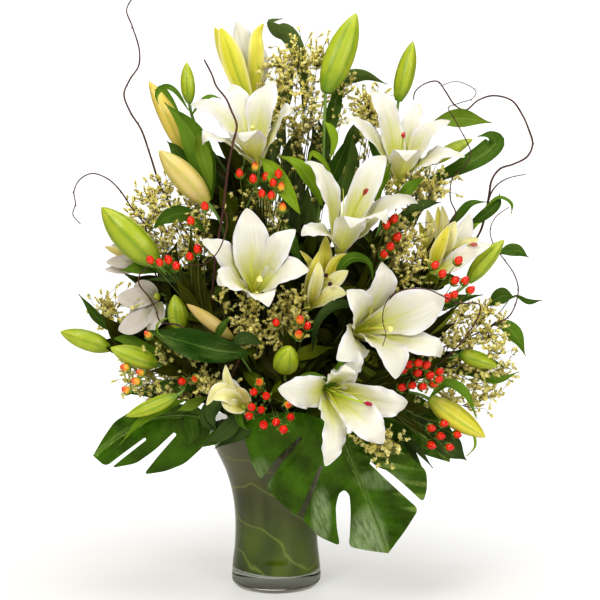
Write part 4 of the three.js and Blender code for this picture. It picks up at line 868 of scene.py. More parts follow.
def bud_finish(name, foot, middle, tip, flush, ribs):
    finish = Finish(name, soft=(0.2, 0.004, (0.8, 1.0, 0.3)))
    where, turn, along = finish.uv()
    wander = finish.noise(finish.where(), 60.0, 3.0)
    reach = along + (wander - 0.5) * 0.2
    colour = finish.ramp(reach, (0.0, foot), (0.28, middle), (0.72, middle), (0.97, tip))
    crest = abs((turn * 6.0).sum("FRACT") - 0.5)
    colour = finish.mix(crest.ease(0.06, 0.22, ribs, 0.0), colour, foot)
    colour = finish.mix(wander.ease(0.45, 0.75) * 0.4, colour, flush)
    fine = finish.streaks(where, 60, 3, 2.0)
    finish.set(Base_Color=colour, Roughness=fine.ease(0.3, 0.7, 0.3, 0.45))
    finish.relief(fine, 0.0006, 0.5)
    return finish.material


def berry_finish(name, ripe_share):
    finish = Finish(name, soft=(0.1, 0.002, (1.0, 0.2, 0.05)), Specular_IOR_Level=0.55)
    _, _, along = finish.uv()
    wander = finish.noise(finish.where(), 120.0, 2.0)
    ripe = along + (wander - 0.5) * 0.35
    red = finish.ramp(ripe, (0.0, (0.85, 0.3, 0.02)), (0.2, (0.84, 0.06, 0.008)),
                      (0.55, (0.78, 0.014, 0.006)), (1.0, (0.45, 0.006, 0.006)))
    unripe = finish.ramp(ripe, (0.0, (0.74, 0.56, 0.1)), (0.36, (0.84, 0.46, 0.05)),
                         (0.6, (0.78, 0.12, 0.02)), (1.0, (0.55, 0.02, 0.01)))
    ripeness = finish.given("tone").ease(ripe_share, ripe_share + 0.12)
    finish.set(Base_Color=finish.mix(ripeness, red, unripe), Roughness=wander.ease(0.3, 0.7, 0.1, 0.2))
    finish.relief(wander, 0.0003, 0.3)
    return finish.material


def floret_finish():
    finish = Finish("limonium_floret", soft=(0.5, 0.004, (1.0, 0.9, 0.4)), Roughness=0.7)
    _, _, along = finish.uv()
    colour = finish.ramp(along, (0.0, (0.84, 0.74, 0.1)), (0.35, (1.0, 0.87, 0.16)), (1.0, (1.0, 0.92, 0.3)))
    faded = finish.mix(finish.given("tone").ease(0.5, 1.0, 0.0, 0.7), colour, (1.0, 0.94, 0.5))
    specks = finish.noise(finish.where(), 700.0, 2.0)
    finish.set(Base_Color=finish.mix(specks.ease(0.4, 0.7, 0.25, 0.0), faded, (0.92, 0.82, 0.36)))
    return finish.material


def bark_finish():
    finish = Finish("willow_bark")
    where, _, _ = finish.uv()
    streaks = finish.streaks(where, 8, 60, 4.0)
    patches = finish.noise(finish.where(), 90.0, 2.0)
    colour = finish.ramp(streaks, (0.3, (0.02, 0.007, 0.007)), (0.55, (0.07, 0.018, 0.014)),
                         (0.8, (0.16, 0.06, 0.03)))
    finish.set(Base_Color=finish.mix(patches.ease(0.5, 0.75, 0.0, 0.5), colour, (0.2, 0.1, 0.05)),
               Roughness=patches.ease(0.3, 0.7, 0.38, 0.62))
    finish.relief(streaks, 0.0006, 0.7)
    return finish.material


def plain_finish(name, dark, light, gloss=0.5, grain=80.0):
    finish = Finish(name, soft=(0.1, 0.002))
    patches = finish.noise(finish.where(), grain, 3.0)
    _, _, along = finish.uv()
    share = along * 0.6 + patches * 0.5
    finish.set(Base_Color=finish.mix(share.ease(0.15, 0.95), dark, light),
               Roughness=patches.ease(0.3, 0.7, gloss - 0.08, gloss + 0.1))
    return finish.material


def style_finish(name, shaft, stigma):
    """The style of a bloom: its last tenth is the stigma."""
    finish = Finish(name, soft=(0.1, 0.002))
    _, _, along = finish.uv()
    grain = finish.noise(finish.where(), 200.0, 2.0)
    finish.set(Base_Color=finish.mix(along.ease(0.85, 0.92), shaft, stigma),
               Roughness=grain.ease(0.3, 0.7, 0.3, 0.5))
    return finish.material


def clear_finish(name, bending, first, second, swirl_scale, detail, tint, roughness=0.0, foot=None):
    """Glass or water. It lets light through to what stands in it. A foot colour, where given, darkens the
    glass near its floor: a painted reflection of the dark stems and liner.
    """
    finish = Finish(name, Transmission_Weight=1.0, IOR=bending, Roughness=roughness)
    colour = finish.mix(finish.noise(finish.where(), swirl_scale, detail), first, second)
    # Painted reflection: the clear glass is tinted darker and lavender near its floor, where the dark stems
    # and liner would show in it.
    if foot:
        height = finish.split(finish.where())[2]
        colour = finish.mix(height.ease(0.006, 0.022, 0.75, 0.0), colour, foot)
    finish.set(Base_Color=colour)
    passing = finish.ray("Is Shadow Ray").sum("MAXIMUM", finish.ray("Is Diffuse Ray"))
    finish.show(passing, finish.node("ShaderNodeBsdfTransparent", tint))
    return finish.material


def liner_finish():
    """The leaf behind the glass: olive brown above the water, deeper and greener in it."""
    finish = Finish("liner_leaf", Roughness=0.6, Specular_IOR_Level=0.1, Specular_Tint=LEAF_SHINE)
    across, _, up = finish.split(finish.where())
    drift = finish.noise(finish.where(), 9.0, 3.0)
    height = up + drift * 0.08
    patches = finish.streaks(finish.where(), 26, 26, 3.0, over=9).ease(0.32, 0.68)
    wet = finish.mix(patches, (0.035, 0.06, 0.003), (0.095, 0.135, 0.008))
    dry = finish.mix(patches, (0.035, 0.042, 0.008), (0.095, 0.1, 0.03))
    colour = finish.mix(height.ease(0.1, 0.17), wet, dry)
    colour = finish.mix(height.ease(0.17, 0.27, 0.0, 0.6), colour, (0.17, 0.155, 0.105))
    bent = across * 11.0 + up * 19.0 + drift * 2.2
    fold = abs(bent.sum("FRACT") - 0.5)
    finish.set(Base_Color=finish.mix(fold.ease(0.0, 0.06, 0.75, 0.0), colour, (0.2, 0.25, 0.04)))
    return finish.material


# The ovals of painted sheen on the monstera leaf in front, in place of highlights from the lamps: their
# middle and half sizes in metres, and how strong.
PAINTED_SHEEN_OVALS = [(0.132, 0.098, 0.03, 0.06, 1), (0.066, 0.136, 0.016, 0.046, 0.8),
              (-0.02, 0.19, 0.02, 0.03, 0.5), (0.15, 0.19, 0.04, 0.016, 0.5)]


def monstera_finish():
    finish = Finish("monstera_leaf", Specular_IOR_Level=0.45, Specular_Tint=LEAF_SHINE)
    where, across, _ = finish.uv()
    patches = finish.noise(finish.where(), 26.0, 4.0)
    colour = finish.mix(patches.ease(0.3, 0.75), (0.01, 0.04, 0.001), (0.04, 0.12, 0.002))
    colour = finish.mix(finish.given("tone") * 0.12, colour, (0.13, 0.22, 0.03))
    colour = finish.mix(on_rib(across, 0.022) * 0.8, colour, (0.2, 0.34, 0.06))
    sideways, _, up = finish.split(finish.where())
    # Painted sheen: ovals where a highlight is painted on, drawn out along the veins.
    ovals = []
    for middle, height, half_width, half_height, strength in PAINTED_SHEEN_OVALS:
        over, rise = (sideways - middle) / half_width, (up - height) / half_height
        ovals.append((over * over + rise * rise).ease(0.15, 1.2, 1.0, 0.0) * strength)
    painted_sheen = ovals[0]
    for oval in ovals[1:]:
        painted_sheen = painted_sheen.sum("MAXIMUM", oval)
    painted_sheen = painted_sheen * finish.streaks(where, 60, 9, 3.0).ease(0.3, 0.65, 0.35, 1.0)
    # Painted sheen: a pale grey-green laid over the ovals in place of the leaf's highlights.
    colour = finish.mix(painted_sheen * 0.75, colour, (0.3, 0.38, 0.23))
    back = finish.mix(0.45, colour, (0.1, 0.17, 0.05))
    fine = finish.noise(finish.where(), 240.0, 3.0)
    finish.set(Base_Color=finish.mix(finish.given("back"), colour, back),
               Roughness=fine.ease(0.3, 0.7, 0.22, 0.34))
    finish.relief(fine, 0.0004, 0.3)
    return finish.material


# Petals: material, then the colours of the throat, the body, the edge and the rib, and how far the throat
# and the rib reach up the petal.
PETAL_LOOKS = {
    "white": ("white_lily_petal", (0.66, 0.68, 0.04), (0.82, 0.8, 0.71), (0.84, 0.82, 0.89),
              (0.68, 0.73, 0.16), 0.58),
    "cream": ("cream_lily_petal", (0.6, 0.58, 0.05), (0.84, 0.79, 0.38), (0.87, 0.85, 0.68),
              (0.68, 0.62, 0.06), 0.6, 0.95),
    "outer": ("yellow_green_petal", (0.5, 0.56, 0.03), (0.74, 0.7, 0.06), (0.84, 0.78, 0.4),
              (0.3, 0.42, 0.01), 0.4, 1.4),
    "straw": ("straw_petal", (0.5, 0.4, 0.1), (0.66, 0.55, 0.2), (0.8, 0.72, 0.6), (0.5, 0.34, 0.06),
              0.4, 1.3),
    "yellow": ("yellow_lily_petal", (0.46, 0.46, 0.015), (0.8, 0.72, 0.09), (0.88, 0.83, 0.46),
               (0.55, 0.54, 0.015), 0.7, 1.3),
    "shaded": ("shaded_lily_petal", (0.4, 0.42, 0.2), (0.6, 0.55, 0.52), (0.64, 0.6, 0.6),
               (0.5, 0.46, 0.3), 0.45),
}

# Leaves: the deep and the bright green, the rib, and how matt the leaf is.
LEAF_LOOKS = {
    "lily_leaf": ((0.03, 0.085, 0.004), (0.13, 0.25, 0.02), (0.26, 0.36, 0.07), 0.42),
    # The next leaves are painted nearly black: painted shade for the deep inside of the bouquet.
    "inner_leaf": ((0.005, 0.005, 0.0004), (0.05, 0.058, 0.002), (0.09, 0.105, 0.01), 0.5),
    "mid_leaf": ((0.03, 0.05, 0.002), (0.18, 0.22, 0.008), (0.26, 0.3, 0.03), 0.42),
    "broad_leaf": ((0.014, 0.045, 0.004), (0.055, 0.13, 0.012), (0.15, 0.23, 0.05), 0.36),
    "strap_leaf": ((0.01, 0.03, 0.008), (0.045, 0.085, 0.022), (0.09, 0.14, 0.05), 0.4),
    "wet_leaf": ((0.006, 0.03, 0.003), (0.026, 0.09, 0.008), (0.08, 0.17, 0.035), 0.2),
    "light_leaf": ((0.07, 0.16, 0.006), (0.23, 0.35, 0.02), (0.36, 0.46, 0.1), 0.4),
    "olive_leaf": ((0.05, 0.1, 0.008), (0.15, 0.24, 0.02), (0.24, 0.32, 0.07), 0.4),
    "hypericum_calyx": ((0.12, 0.26, 0.04), (0.26, 0.44, 0.1), (0.3, 0.45, 0.12), 0.4),
}

# Buds: the colours of the foot, the middle and the tip, the flush on them, and how strong the ribs are.
BUD_LOOKS = {
    "green_bud": ((0.14, 0.27, 0.015), (0.37, 0.46, 0.025), (0.5, 0.56, 0.07), (0.5, 0.52, 0.05), 0.55),
    "yellow_green_bud": ((0.34, 0.42, 0.03), (0.66, 0.62, 0.06), (0.72, 0.64, 0.08), (0.8, 0.72, 0.24), 0.6),
    "yellow_bud": ((0.42, 0.42, 0.04), (0.76, 0.6, 0.12), (0.72, 0.5, 0.08), (0.8, 0.68, 0.34), 0.5),
    "pale_bud": ((0.44, 0.46, 0.06), (0.68, 0.56, 0.2), (0.7, 0.54, 0.22), (0.7, 0.5, 0.36), 0.5),
    "straw_bud": ((0.34, 0.32, 0.06), (0.52, 0.4, 0.13), (0.5, 0.32, 0.1), (0.56, 0.42, 0.26), 0.5),
}

# Styles: the shaft and the stigma at its end. A bloom without one of its own has the pale one.
STYLE_LOOKS = {
    "pale_style": ((0.74, 0.72, 0.14), (0.84, 0.78, 0.3)),
    "red_stigma": ((0.6, 0.66, 0.12), (0.5, 0.03, 0.04)),
    "brown_red_stigma": ((0.62, 0.66, 0.12), (0.38, 0.05, 0.03)),
    "magenta_stigma": ((0.4, 0.56, 0.03), (0.4, 0.01, 0.06)),
    "pink_stigma": ((0.5, 0.5, 0.06), (0.5, 0.14, 0.12)),
}


def make_looks():
    looks = {name: petal_finish(*row) for name, row in PETAL_LOOKS.items()}
    for kind, rows in ((leaf_finish, LEAF_LOOKS), (bud_finish, BUD_LOOKS), (style_finish, STYLE_LOOKS)):
        looks.update({name: kind(name, *row) for name, row in rows.items()})
    looks.update({
        "throat": plain_finish("lily_throat", (0.36, 0.46, 0.04), (0.6, 0.66, 0.09)),
        "thread": plain_finish("lily_thread", (0.58, 0.64, 0.06), (0.74, 0.76, 0.16)),
        "anther": plain_finish("dark_anther", (0.03, 0.003, 0.006), (0.09, 0.01, 0.008), 0.8, 300.0),
        "stem": stem_finish("lily_stem", (0.07, 0.15, 0.03), (0.2, 0.34, 0.07)),
        "woody": stem_finish("hypericum_stalk", (0.05, 0.05, 0.01), (0.12, 0.16, 0.025), 0.55),
        "limonium_stalk": stem_finish("limonium_stalk", (0.03, 0.045, 0.008), (0.09, 0.1, 0.03), 0.6),
        "rib": stem_finish("monstera_rib", (0.1, 0.19, 0.02), (0.07, 0.15, 0.02), 0.35),
        "monstera": monstera_finish(),
        "berry": berry_finish("hypericum_berry", 0.97),
        "half_ripe_berry": berry_finish("half_ripe_berry", 0.62),
        "floret": floret_finish(),
        "bark": bark_finish(),
        # The glass's foot colour is a painted reflection that darkens its floor.
        "glass": clear_finish("clear_glass", 1.47, (0.93, 0.97, 0.95), (0.97, 0.99, 0.98), 14.0, 2.0,
                              tint=(0.93, 0.96, 0.95), foot=(0.4, 0.37, 0.42)),
        "water": clear_finish("vase_water", 1.33, (0.9, 0.95, 0.88), (0.95, 0.98, 0.93), 22.0, 2.0,
                              tint=(0.9, 0.95, 0.88)),
        "drop": clear_finish("water_drop", 1.33, (0.95, 0.98, 0.96), (1, 1, 1), 300.0, 1.0,
                             tint=(0.96, 0.98, 0.97), roughness=0.02),
        "liner": liner_finish(),
    })
    return looks


# ---- vase, liner leaf and water ----


def smooth_radius(height):
    """The vase's radius with its outline drawn as one smooth curve."""
    heights = [z for _, z in VASE_OUTLINE]
    radii = [r for r, _ in VASE_OUTLINE]
    slopes = np.gradient(radii, heights)
    slopes[1] = 0.15
    span = min(max(np.searchsorted(heights, height) - 1, 0), len(heights) - 2)
    length = heights[span + 1] - heights[span]
    s = min(max((height - heights[span]) / length, 0), 1)
    return ((2 * s ** 3 - 3 * s ** 2 + 1) * radii[span] + (s ** 3 - 2 * s ** 2 + s) * length * slopes[span]
            + (3 * s ** 2 - 2 * s ** 3) * radii[span + 1] + (s ** 3 - s ** 2) * length * slopes[span + 1])


def turned(profile, sides):
    """A closed round body from a profile of (radius, height) that starts and ends on the axis."""
    turn = 2 * math.pi * np.arange(sides) / sides
    rings = np.array(profile[1:-1], float)
    points = np.stack([rings[:, :1] * np.cos(turn), rings[:, :1] * np.sin(turn),
                       np.repeat(rings[:, 1:], sides, axis=1)], axis=2).reshape(-1, 3)
    foot, top = len(points), len(points) + 1
    points = np.concatenate([points, [[0, 0, profile[0][1]], [0, 0, profile[-1][1]]]])
    faces, uvs = grid_faces(len(rings), sides, wrap=True)
    last = (len(rings) - 1) * sides
    ends = ([[(k + 1) % sides, k, foot] for k in range(sides)]
            + [[last + k, last + (k + 1) % sides, top] for k in range(sides)])
    ends_uv = [[[0.5, 0]] * 3] * sides + [[[0.5, 1]] * 3] * sides
    return points, [faces, ends], [uvs, ends_uv], 0.0


def make_vase(looks):
    outer = [(0, 0), (30, 0), (56, 0), (60, 0.4)]
    outer += [(smooth_radius(z), z) for z in np.linspace(1.5, VASE_HEIGHT, 84)]
    round_rim = GLASS / 2
    rim = [(VASE_OUTLINE[-1][0] - round_rim + round_rim * math.cos(a), VASE_HEIGHT + round_rim * math.sin(a))
           for a in (0.5, 1.1, 1.57, 2.1, 2.7)]
    corner_top = FLOOR_THICKNESS + FLOOR_CORNER
    inner = [(smooth_radius(z) - GLASS, z) for z in np.linspace(VASE_HEIGHT, corner_top, 74)]
    corner = inner[-1][0]
    inner += [(corner - 7 * (1 - math.cos(a)), corner_top - FLOOR_CORNER * math.sin(a))
              for a in (0.3, 0.6, 0.9, 1.2, 1.5)]
    floor = [(corner - 20, FLOOR_THICKNESS), (20, FLOOR_THICKNESS), (0, FLOOR_THICKNESS)]
    vase = Piece("clear_vase")
    vase.add(turned(outer + rim + inner + floor, 128), looks["glass"])
    vase.build("vase_glass", "vase")


def make_liner(looks):
    """One broad leaf wound round the inside of the glass, which it clings to, lapping over its start."""
    steps, rows = 160, 40
    grid = np.zeros((rows, steps + 1, 3))
    for j in range(steps + 1):
        along = j / steps
        angle = 2 * math.pi * LINER_TURNS * along - 1.2
        for i in range(rows):
            share = i / (rows - 1)
            height = LINER_FOOT + (LINER_TOP - LINER_FOOT) * share
            radius = smooth_radius(height) - GLASS + 1.5 - 0.9 * along
            turn = angle + 0.5 * (share - 0.3) * (0.5 - along)
            foot = (1.5 + 2 * math.sin(angle * 2 + 0.6)) * (1 - share) ** 3
            grid[i, j] = (radius * math.cos(turn), radius * math.sin(turn), height + foot)
    liner = Piece("wound_liner_leaf")
    liner.add(blade(grid, 0.4), looks["liner"])
    liner.build("liner_leaf", "liner_leaf")


def make_water(looks):
    foot = smooth_radius(30) - WATER_INSET
    profile = [(0, WATER_FOOT), (foot - 6, WATER_FOOT), (foot, WATER_FOOT + 6.4)]
    profile += [(smooth_radius(z) - WATER_INSET, z) for z in np.linspace(33, WATER_LEVEL, 40)]
    water = Piece("water_in_vase")
    water.add(turned(profile + [(0, WATER_LEVEL)], 96), looks["water"])
    water.build("water", "water")


# ---- blooms ----


def petal_breadth(t):
    return np.maximum(0.012, 0.3 * (1 - t) ** 2 + np.sin(np.pi * t ** 1.06) ** 0.66)


def open_petal(foot, axis, tip, width, curl, share, frill, sepal, rng):
    """One petal or sepal: it leaves the foot along the bloom's axis, flares, and curls back."""
    reach = tip - foot
    outward = unit(reach - axis * reach.dot(axis))
    side = np.cross(axis, outward)
    length = np.linalg.norm(reach)
    curl_back = math.radians(curl)
    heading = outward * math.cos(curl_back) - axis * math.sin(curl_back)
    root = foot + outward * (6.1 if sepal else 4.3)
    t = 1 - (1 - np.linspace(0, 1, 36)) ** 1.15
    leaving = axis * 0.42 + outward * 0.13
    midrib = bezier([root, root + leaving * length, tip - heading * 0.38 * length, tip], t)
    inner = unit(np.cross(unit(np.gradient(midrib, axis=0)), side[None, :]))[:, None]
    radius = (midrib - foot) @ outward + 6 * t
    half = np.minimum(width / 2 * petal_breadth(t), radius * share)
    s = np.linspace(1, -1, 19)[None, :, None]
    turn = s * (half / radius)[:, None, None]
    broad = (half / (width / 2))[:, None, None]
    radius = radius[:, None, None]
    rise = t[:, None, None]
    grid = (midrib[:, None] + side * radius * np.sin(turn)
            - outward * radius * (1 - np.cos(turn)) * (1 - 0.8 * rise))
    waves, phase = 6.3 * rng.uniform(1.3, 2.4), rng.uniform(0, 6.3, 2)
    ruffle = 3.4 * frill * np.abs(s) ** 2.6 * np.sin(waves * rise + np.where(s > 0, phase[0], phase[1]))
    ruffle += 1.1 * frill ** 2 * np.abs(s) ** 5 * np.sin(3.1 * waves * rise + phase[0] + 2 * s)
    edge_back = -0.1 * width * np.abs(s) ** 2.2 * rise ** 2
    pinched_tip = 1.2 * np.clip(rise - 0.85, 0, 1) / 0.15 * s ** 2
    groove = -1.4 * np.exp(-(s / 0.12) ** 2) * np.clip(1.15 - rise, 0, 1) * broad
    behind = -2.6 * sepal * np.sin(np.pi * np.clip(rise * 1.25, 0, 1))
    return grid + inner * (np.clip(rise * 3, 0, 1) * ((ruffle + edge_back) * broad + pinched_tip)
                           + groove + behind)


def shares_of_turn(foot, axis, tips):
    """How far each petal may spread round the bloom's axis before it meets its neighbour."""
    across = unit(np.cross([0, 0, 1], axis))
    over = np.cross(axis, across)
    turns = [math.atan2((tip - foot).dot(over), (tip - foot).dot(across)) for tip in tips]
    shares = []
    for turn in turns:
        gaps = [math.pi - abs(abs(other - turn) - math.pi) for other in turns]
        shares.append(max(0.7, min(1.0, 1.1 * min(gap for gap in gaps if gap > 0))))
    return shares


def axis_of(shape):
    """The way a bloom looks."""
    return (at(shape["mouth"]) - at(shape["base"])).normalized()


def under_bloom(shape, lower=0.0):
    """Where the stalk of a bloom ends, or a place lower on the bloom's axis."""
    return at(shape["base"]) - axis_of(shape) * (RECEPTACLE_DEPTH + lower)


def shown_petals(piece, name, looks, rng):
    """The petals that show plainly, each along its own midrib."""
    for finish, width, hollow, fullest, places in SHOWN_PETALS.get(name, []):
        midrib = Line([at(place) for place in places]).course(24)
        power = math.log(0.5) / math.log(fullest)
        grid = leaf_on(midrib, width, rng, 13, hollow=hollow, outline=lambda t: petal_breadth(t ** power))
        piece.add(blade(grid, PETAL_THICKNESS), looks[finish], tone=rng.uniform(0, 1))


def make_bloom(name, shape, looks):
    rng = draws(name)
    foot, axis = np.array(at(shape["base"])), np.array(axis_of(shape))
    bloom = Piece(name + "_bloom")
    heart = foot + axis * np.linspace(-RECEPTACLE_DEPTH, 9, 9)[:, None]
    bloom.add(tube(heart, [2.4, 4.2, 6.2, 7.4, 7.8, 7.6, 7.0, 6.4, 5.6], 18), looks["throat"])
    shown_petals(bloom, name, looks, rng)
    if "tips" in shape:
        tips = [np.array(at(tip)) for tip in shape["tips"]]
        shares = shares_of_turn(foot, axis, tips)
        for i, (*_, curl, width) in enumerate(shape["tips"]):
            grid = open_petal(foot, axis, tips[i], width, curl, shares[i], shape.get("frill", 1), i % 2, rng)
            bloom.add(blade(grid, PETAL_THICKNESS), looks["white"], tone=rng.uniform(0, 1))
    if "stigma" in shape:
        add_heart(bloom, name, shape, foot, axis, looks, rng)
    bloom.build(shape.get("slot", "white_petal"), name)


def add_heart(bloom, name, shape, foot, axis, looks, rng):
    """The style with its stigma, and six threads. Some blooms keep their anthers."""
    end = np.array(at(shape["stigma"]))
    reach = np.linalg.norm(end - foot)
    style = bezier([foot, foot + axis * 0.6 * reach, end], 20)
    swell = shape.get("swell", 1)
    radii = np.interp(np.linspace(0, 1, 20), [0, 0.5, 0.9, 0.955, 0.985, 1],
                      [1.9, 1.3, 1.5, 3.4 * swell, 3.9 * swell, 2.4 * swell])
    bloom.add(tube(style, radii, 12, lambda turn: 1 + 0.16 * np.cos(3 * turn)),
              looks[shape.get("style", "pale_style")])
    across = unit(np.cross([0.1, 0.2, 1], axis))
    over = np.cross(axis, across)
    first = rng.uniform(0, 1)
    for k in range(6):
        turn = first + k * math.pi / 3
        away = across * math.cos(turn) + over * math.sin(turn)
        tip = foot + axis * reach * rng.uniform(0.68, 0.8) + away * reach * rng.uniform(0.17, 0.25)
        knee = foot + axis * reach * 0.45 + away * reach * 0.05
        bloom.add(curved([foot + away * 2, knee, tip], 1.1, 0.45, 12, 6), looks["thread"])
    for place in SHOWN_ANTHERS.get(name, []):
        anther = np.array(at(place)) + np.outer(np.linspace(-4.5, 4.5, 7), unit(across + over * 0.8))
        bloom.add(tube(anther, [0.4, 2.0, 2.9, 3.1, 2.8, 2.0, 0.4], 10), looks["anther"])
        bloom.add(curved([foot, foot + axis * 0.5 * reach, at(place)], 1.1, 0.7, 10, 6), looks["thread"])


# ---- lily stems with their stalks, buds and leaves ----


def bud(foot, tip, radius, rng):
    """Six closed petals: three sepals show as ribs, with the seams between them as grooves."""
    foot, tip = np.array(foot), np.array(tip)
    t = np.concatenate([[0, 0.02, 0.05], np.linspace(0.1, 0.95, 20), [0.975, 0.99, 1.0]])
    profile = np.interp(t, [0, 0.08, 0.18, 0.3, 0.46, 0.62, 0.76, 0.88, 0.96, 1],
                        [0.36, 0.6, 0.82, 0.97, 1.0, 0.93, 0.74, 0.47, 0.22, 0.03])
    length = np.linalg.norm(tip - foot)
    bow = unit(np.cross(tip - foot, rng.normal(size=3))) * length * 0.018
    course = foot + np.outer(t, tip - foot) + np.outer(np.sin(np.pi * t), bow)
    seam = rng.uniform(0, 6.3)

    def section(turn):
        from_rib = np.mod(turn - seam, 2 * math.pi / 3) - math.pi / 3
        from_seam = np.abs(from_rib) - math.pi / 3
        return (1 + 0.035 * np.cos(3 * (turn - seam) + math.pi) + 0.05 * np.exp(-(from_rib / 0.14) ** 2)
                - 0.06 * np.exp(-(from_seam / 0.1) ** 2))
    return tube(course, profile * radius, 42, section)


def stalk(line, height, end, heading, radii):
    """A stalk that leaves its stem at that height and arrives at its end along the heading."""
    t = line.at_height(height)
    start = line.place(t)
    length = (end - start).length
    leaving = start.lerp(end, 0.3) + line.heading(t) * 0.08 * length
    return tube(bezier([start, leaving, end - heading * 0.3 * length, end], 18), radii, 10)


def leaf_on(midrib, width, rng, columns, start=0.0, tilt=0.0, twist=0.0, hollow=0.22, fullest=0.44,
            outline=None):
    """A leaf along its midrib: a stalk up to the start of the blade, which ends in a point."""
    t = np.linspace(0, 1, len(midrib))
    tangent = unit(np.gradient(midrib, axis=0))
    facing = np.array([0, 1 if midrib[0][1] > 40 else -1, 0.35])
    side = unit(np.cross(tangent, facing))
    upper = unit(np.cross(side, tangent))
    spin = (tilt + twist * t + rng.normal(0, 0.1))[:, None]
    side, upper = side * np.cos(spin) + upper * np.sin(spin), upper * np.cos(spin) - side * np.sin(spin)
    share = np.clip((t - start) / (1 - start), 0, 1)
    if outline:
        breadth = outline(share)
    else:
        breadth = np.sin(np.pi * (share * 0.985 + 0.015) ** (math.log(0.5) / math.log(fullest))) ** 0.9
        breadth *= 1 - 0.72 * np.clip((share - 0.56) / 0.44, 0, 1) ** 1.4
    half = np.maximum(0.6, width / 2 * breadth)[:, None, None]
    s = np.linspace(-1, 1, columns)[None, :, None]
    wave = 0.09 * np.sin(rng.uniform(8, 14) * t + rng.uniform(0, 6))[:, None, None] * s
    lift = hollow * np.abs(s) ** 1.4 + wave - 0.03 * np.cos(9.4 * s)
    return midrib[:, None] + side[:, None] * half * s * (1 - 0.1 * hollow) + upper[:, None] * half * lift


def arching_leaf(base, heading, tip, width, rng, rows, columns, **shape):
    """A narrow leaf that leaves its stem along the stem's heading and arches over to its tip."""
    base, heading, tip = np.array(base), np.array(heading), np.array(tip)
    bend = base + (tip - base) * 0.4 + heading * 0.12 * np.linalg.norm(tip - base)
    return leaf_on(bezier([base, bend, tip], rows), width, rng, columns, **shape)


def shown_leaves(piece, name, looks, rng):
    """The leaves that show plainly from the front. Gives back their grids."""
    grids = []
    for finish, width, tilt, places, *start in SHOWN_LEAVES.get(name, []):
        midrib = Line([at(place) for place in places]).course(26)
        grid = leaf_on(midrib, width, rng, 9, start=start[0] if start else 0, tilt=tilt, fullest=0.5)
        piece.add(blade(grid, LEAF_THICKNESS), looks[finish + "_leaf"], tone=rng.uniform(0.35, 1))
        grids.append(grid)
    return grids


def inner_leaves(piece, line, looks, rng, lowest, highest, count, reach, width, back):
    """The many leaves up a stem, which close the bouquet behind the flowers: from the lowest height
    up to the highest share of the stem, with a lean to the back. Most have a near-black finish,
    painted shade for the deep inside of the bouquet."""
    low = line.at_height(lowest)
    for k in range(count):
        t = low + (highest - low) * (k + rng.uniform(0, 0.9)) / count
        base, heading = line.place(t), line.heading(t)
        turn = TURN_TO_NEXT * k + rng.uniform(-0.4, 0.4)
        away = Vector((math.cos(turn), 0.75 * math.sin(turn) + back, rng.uniform(0.1, 0.9)))
        tip = base + away.normalized() * rng.uniform(*reach)
        tip.y = max(min(tip.y, FARTHEST_INNER_TIP), -NEAREST_INNER_TIP)
        tip.z = max(tip.z, LOWEST_LEAF_TIP)
        grid = arching_leaf(base, heading, tip, rng.uniform(*width), rng, 11, 5,
                            twist=rng.uniform(-0.5, 0.5), tilt=rng.uniform(-0.5, 0.5))
        # Three in four get the near-black finish of painted shade.
        finish = "mid_leaf" if k % 4 == 1 else "inner_leaf"
        piece.add(blade(grid, INNER_LEAF_THICKNESS), looks[finish], tone=rng.uniform(0, 0.75))


def make_lily_stem(name, shape, looks):
    rng, line, piece = begin(name, "_growth", shape, LILY_STEM, 12, looks["stem"], steps=60)
    for flower, height in shape["blooms"].items():
        bloom = BLOOMS[flower]
        radii = np.linspace(LILY_STALK + 0.2, LILY_STALK, 18)
        piece.add(stalk(line, height, under_bloom(bloom), axis_of(bloom), radii), looks["stem"])
    shown_petals(piece, name, looks, rng)
    for height, foot, tip, radius, *finish in shape["buds"]:
        foot, tip = at(foot), at(tip)
        if name in SHOWN_PETALS and not height:
            continue
        look = looks[finish[0] if finish else "green_bud"]
        piece.add(bud(foot, tip, radius, rng), look, tone=rng.uniform(0, 1))
        if height:
            swell = 0.25 * radius * 0.2 * np.linspace(0, 1, 18) ** 8
            radii = np.linspace(LILY_STALK, LILY_STALK - 0.2, 18) + swell
            piece.add(stalk(line, height, foot, (tip - foot).normalized(), radii), looks["stem"])
    for height, tip, width in shape["leaves"]:
        t = line.at_height(height)
        grid = arching_leaf(line.place(t), line.heading(t), at(tip), width, rng, 22, 9,
                            twist=rng.uniform(-0.4, 0.4), fullest=0.55)
        piece.add(blade(grid, LEAF_THICKNESS), looks["broad_leaf"], tone=rng.uniform(0.2, 0.8))
    shown_leaves(piece, name, looks, rng)
    highest = 0.78 if line.places[-1].z > HIGH_STEM_END else 0.92
    inner_leaves(piece, line, looks, rng, lowest=256, highest=highest, count=72, reach=(50, 92),
                 width=(20, 32), back=0.35)
    piece.build("lily_green", name)


# ---- monstera leaves ----


def rounded(outline, every, sharp):
    """The outline with its corners softened but for the sharp one, as places about so far apart."""
    places = [Vector(place) for place in outline]
    softened = []
    for before, corner, after in zip(places[-1:] + places[:-1], places, places[1:] + places[:1]):
        to_before, to_after = before - corner, after - corner
        cut = 0.5 if corner == Vector(sharp) else min(9.0, 0.42 * to_before.length, 0.42 * to_after.length)
        a, b = corner + to_before.normalized() * cut, corner + to_after.normalized() * cut
        softened += [Vector(p) for p in bezier([a, corner, b], 6)]
    result = []
    for a, b in zip(softened, softened[1:] + softened[:1]):
        steps = max(1, round((b - a).length / every))
        result += [tuple(a.lerp(b, k / steps)) for k in range(steps)]
    return result


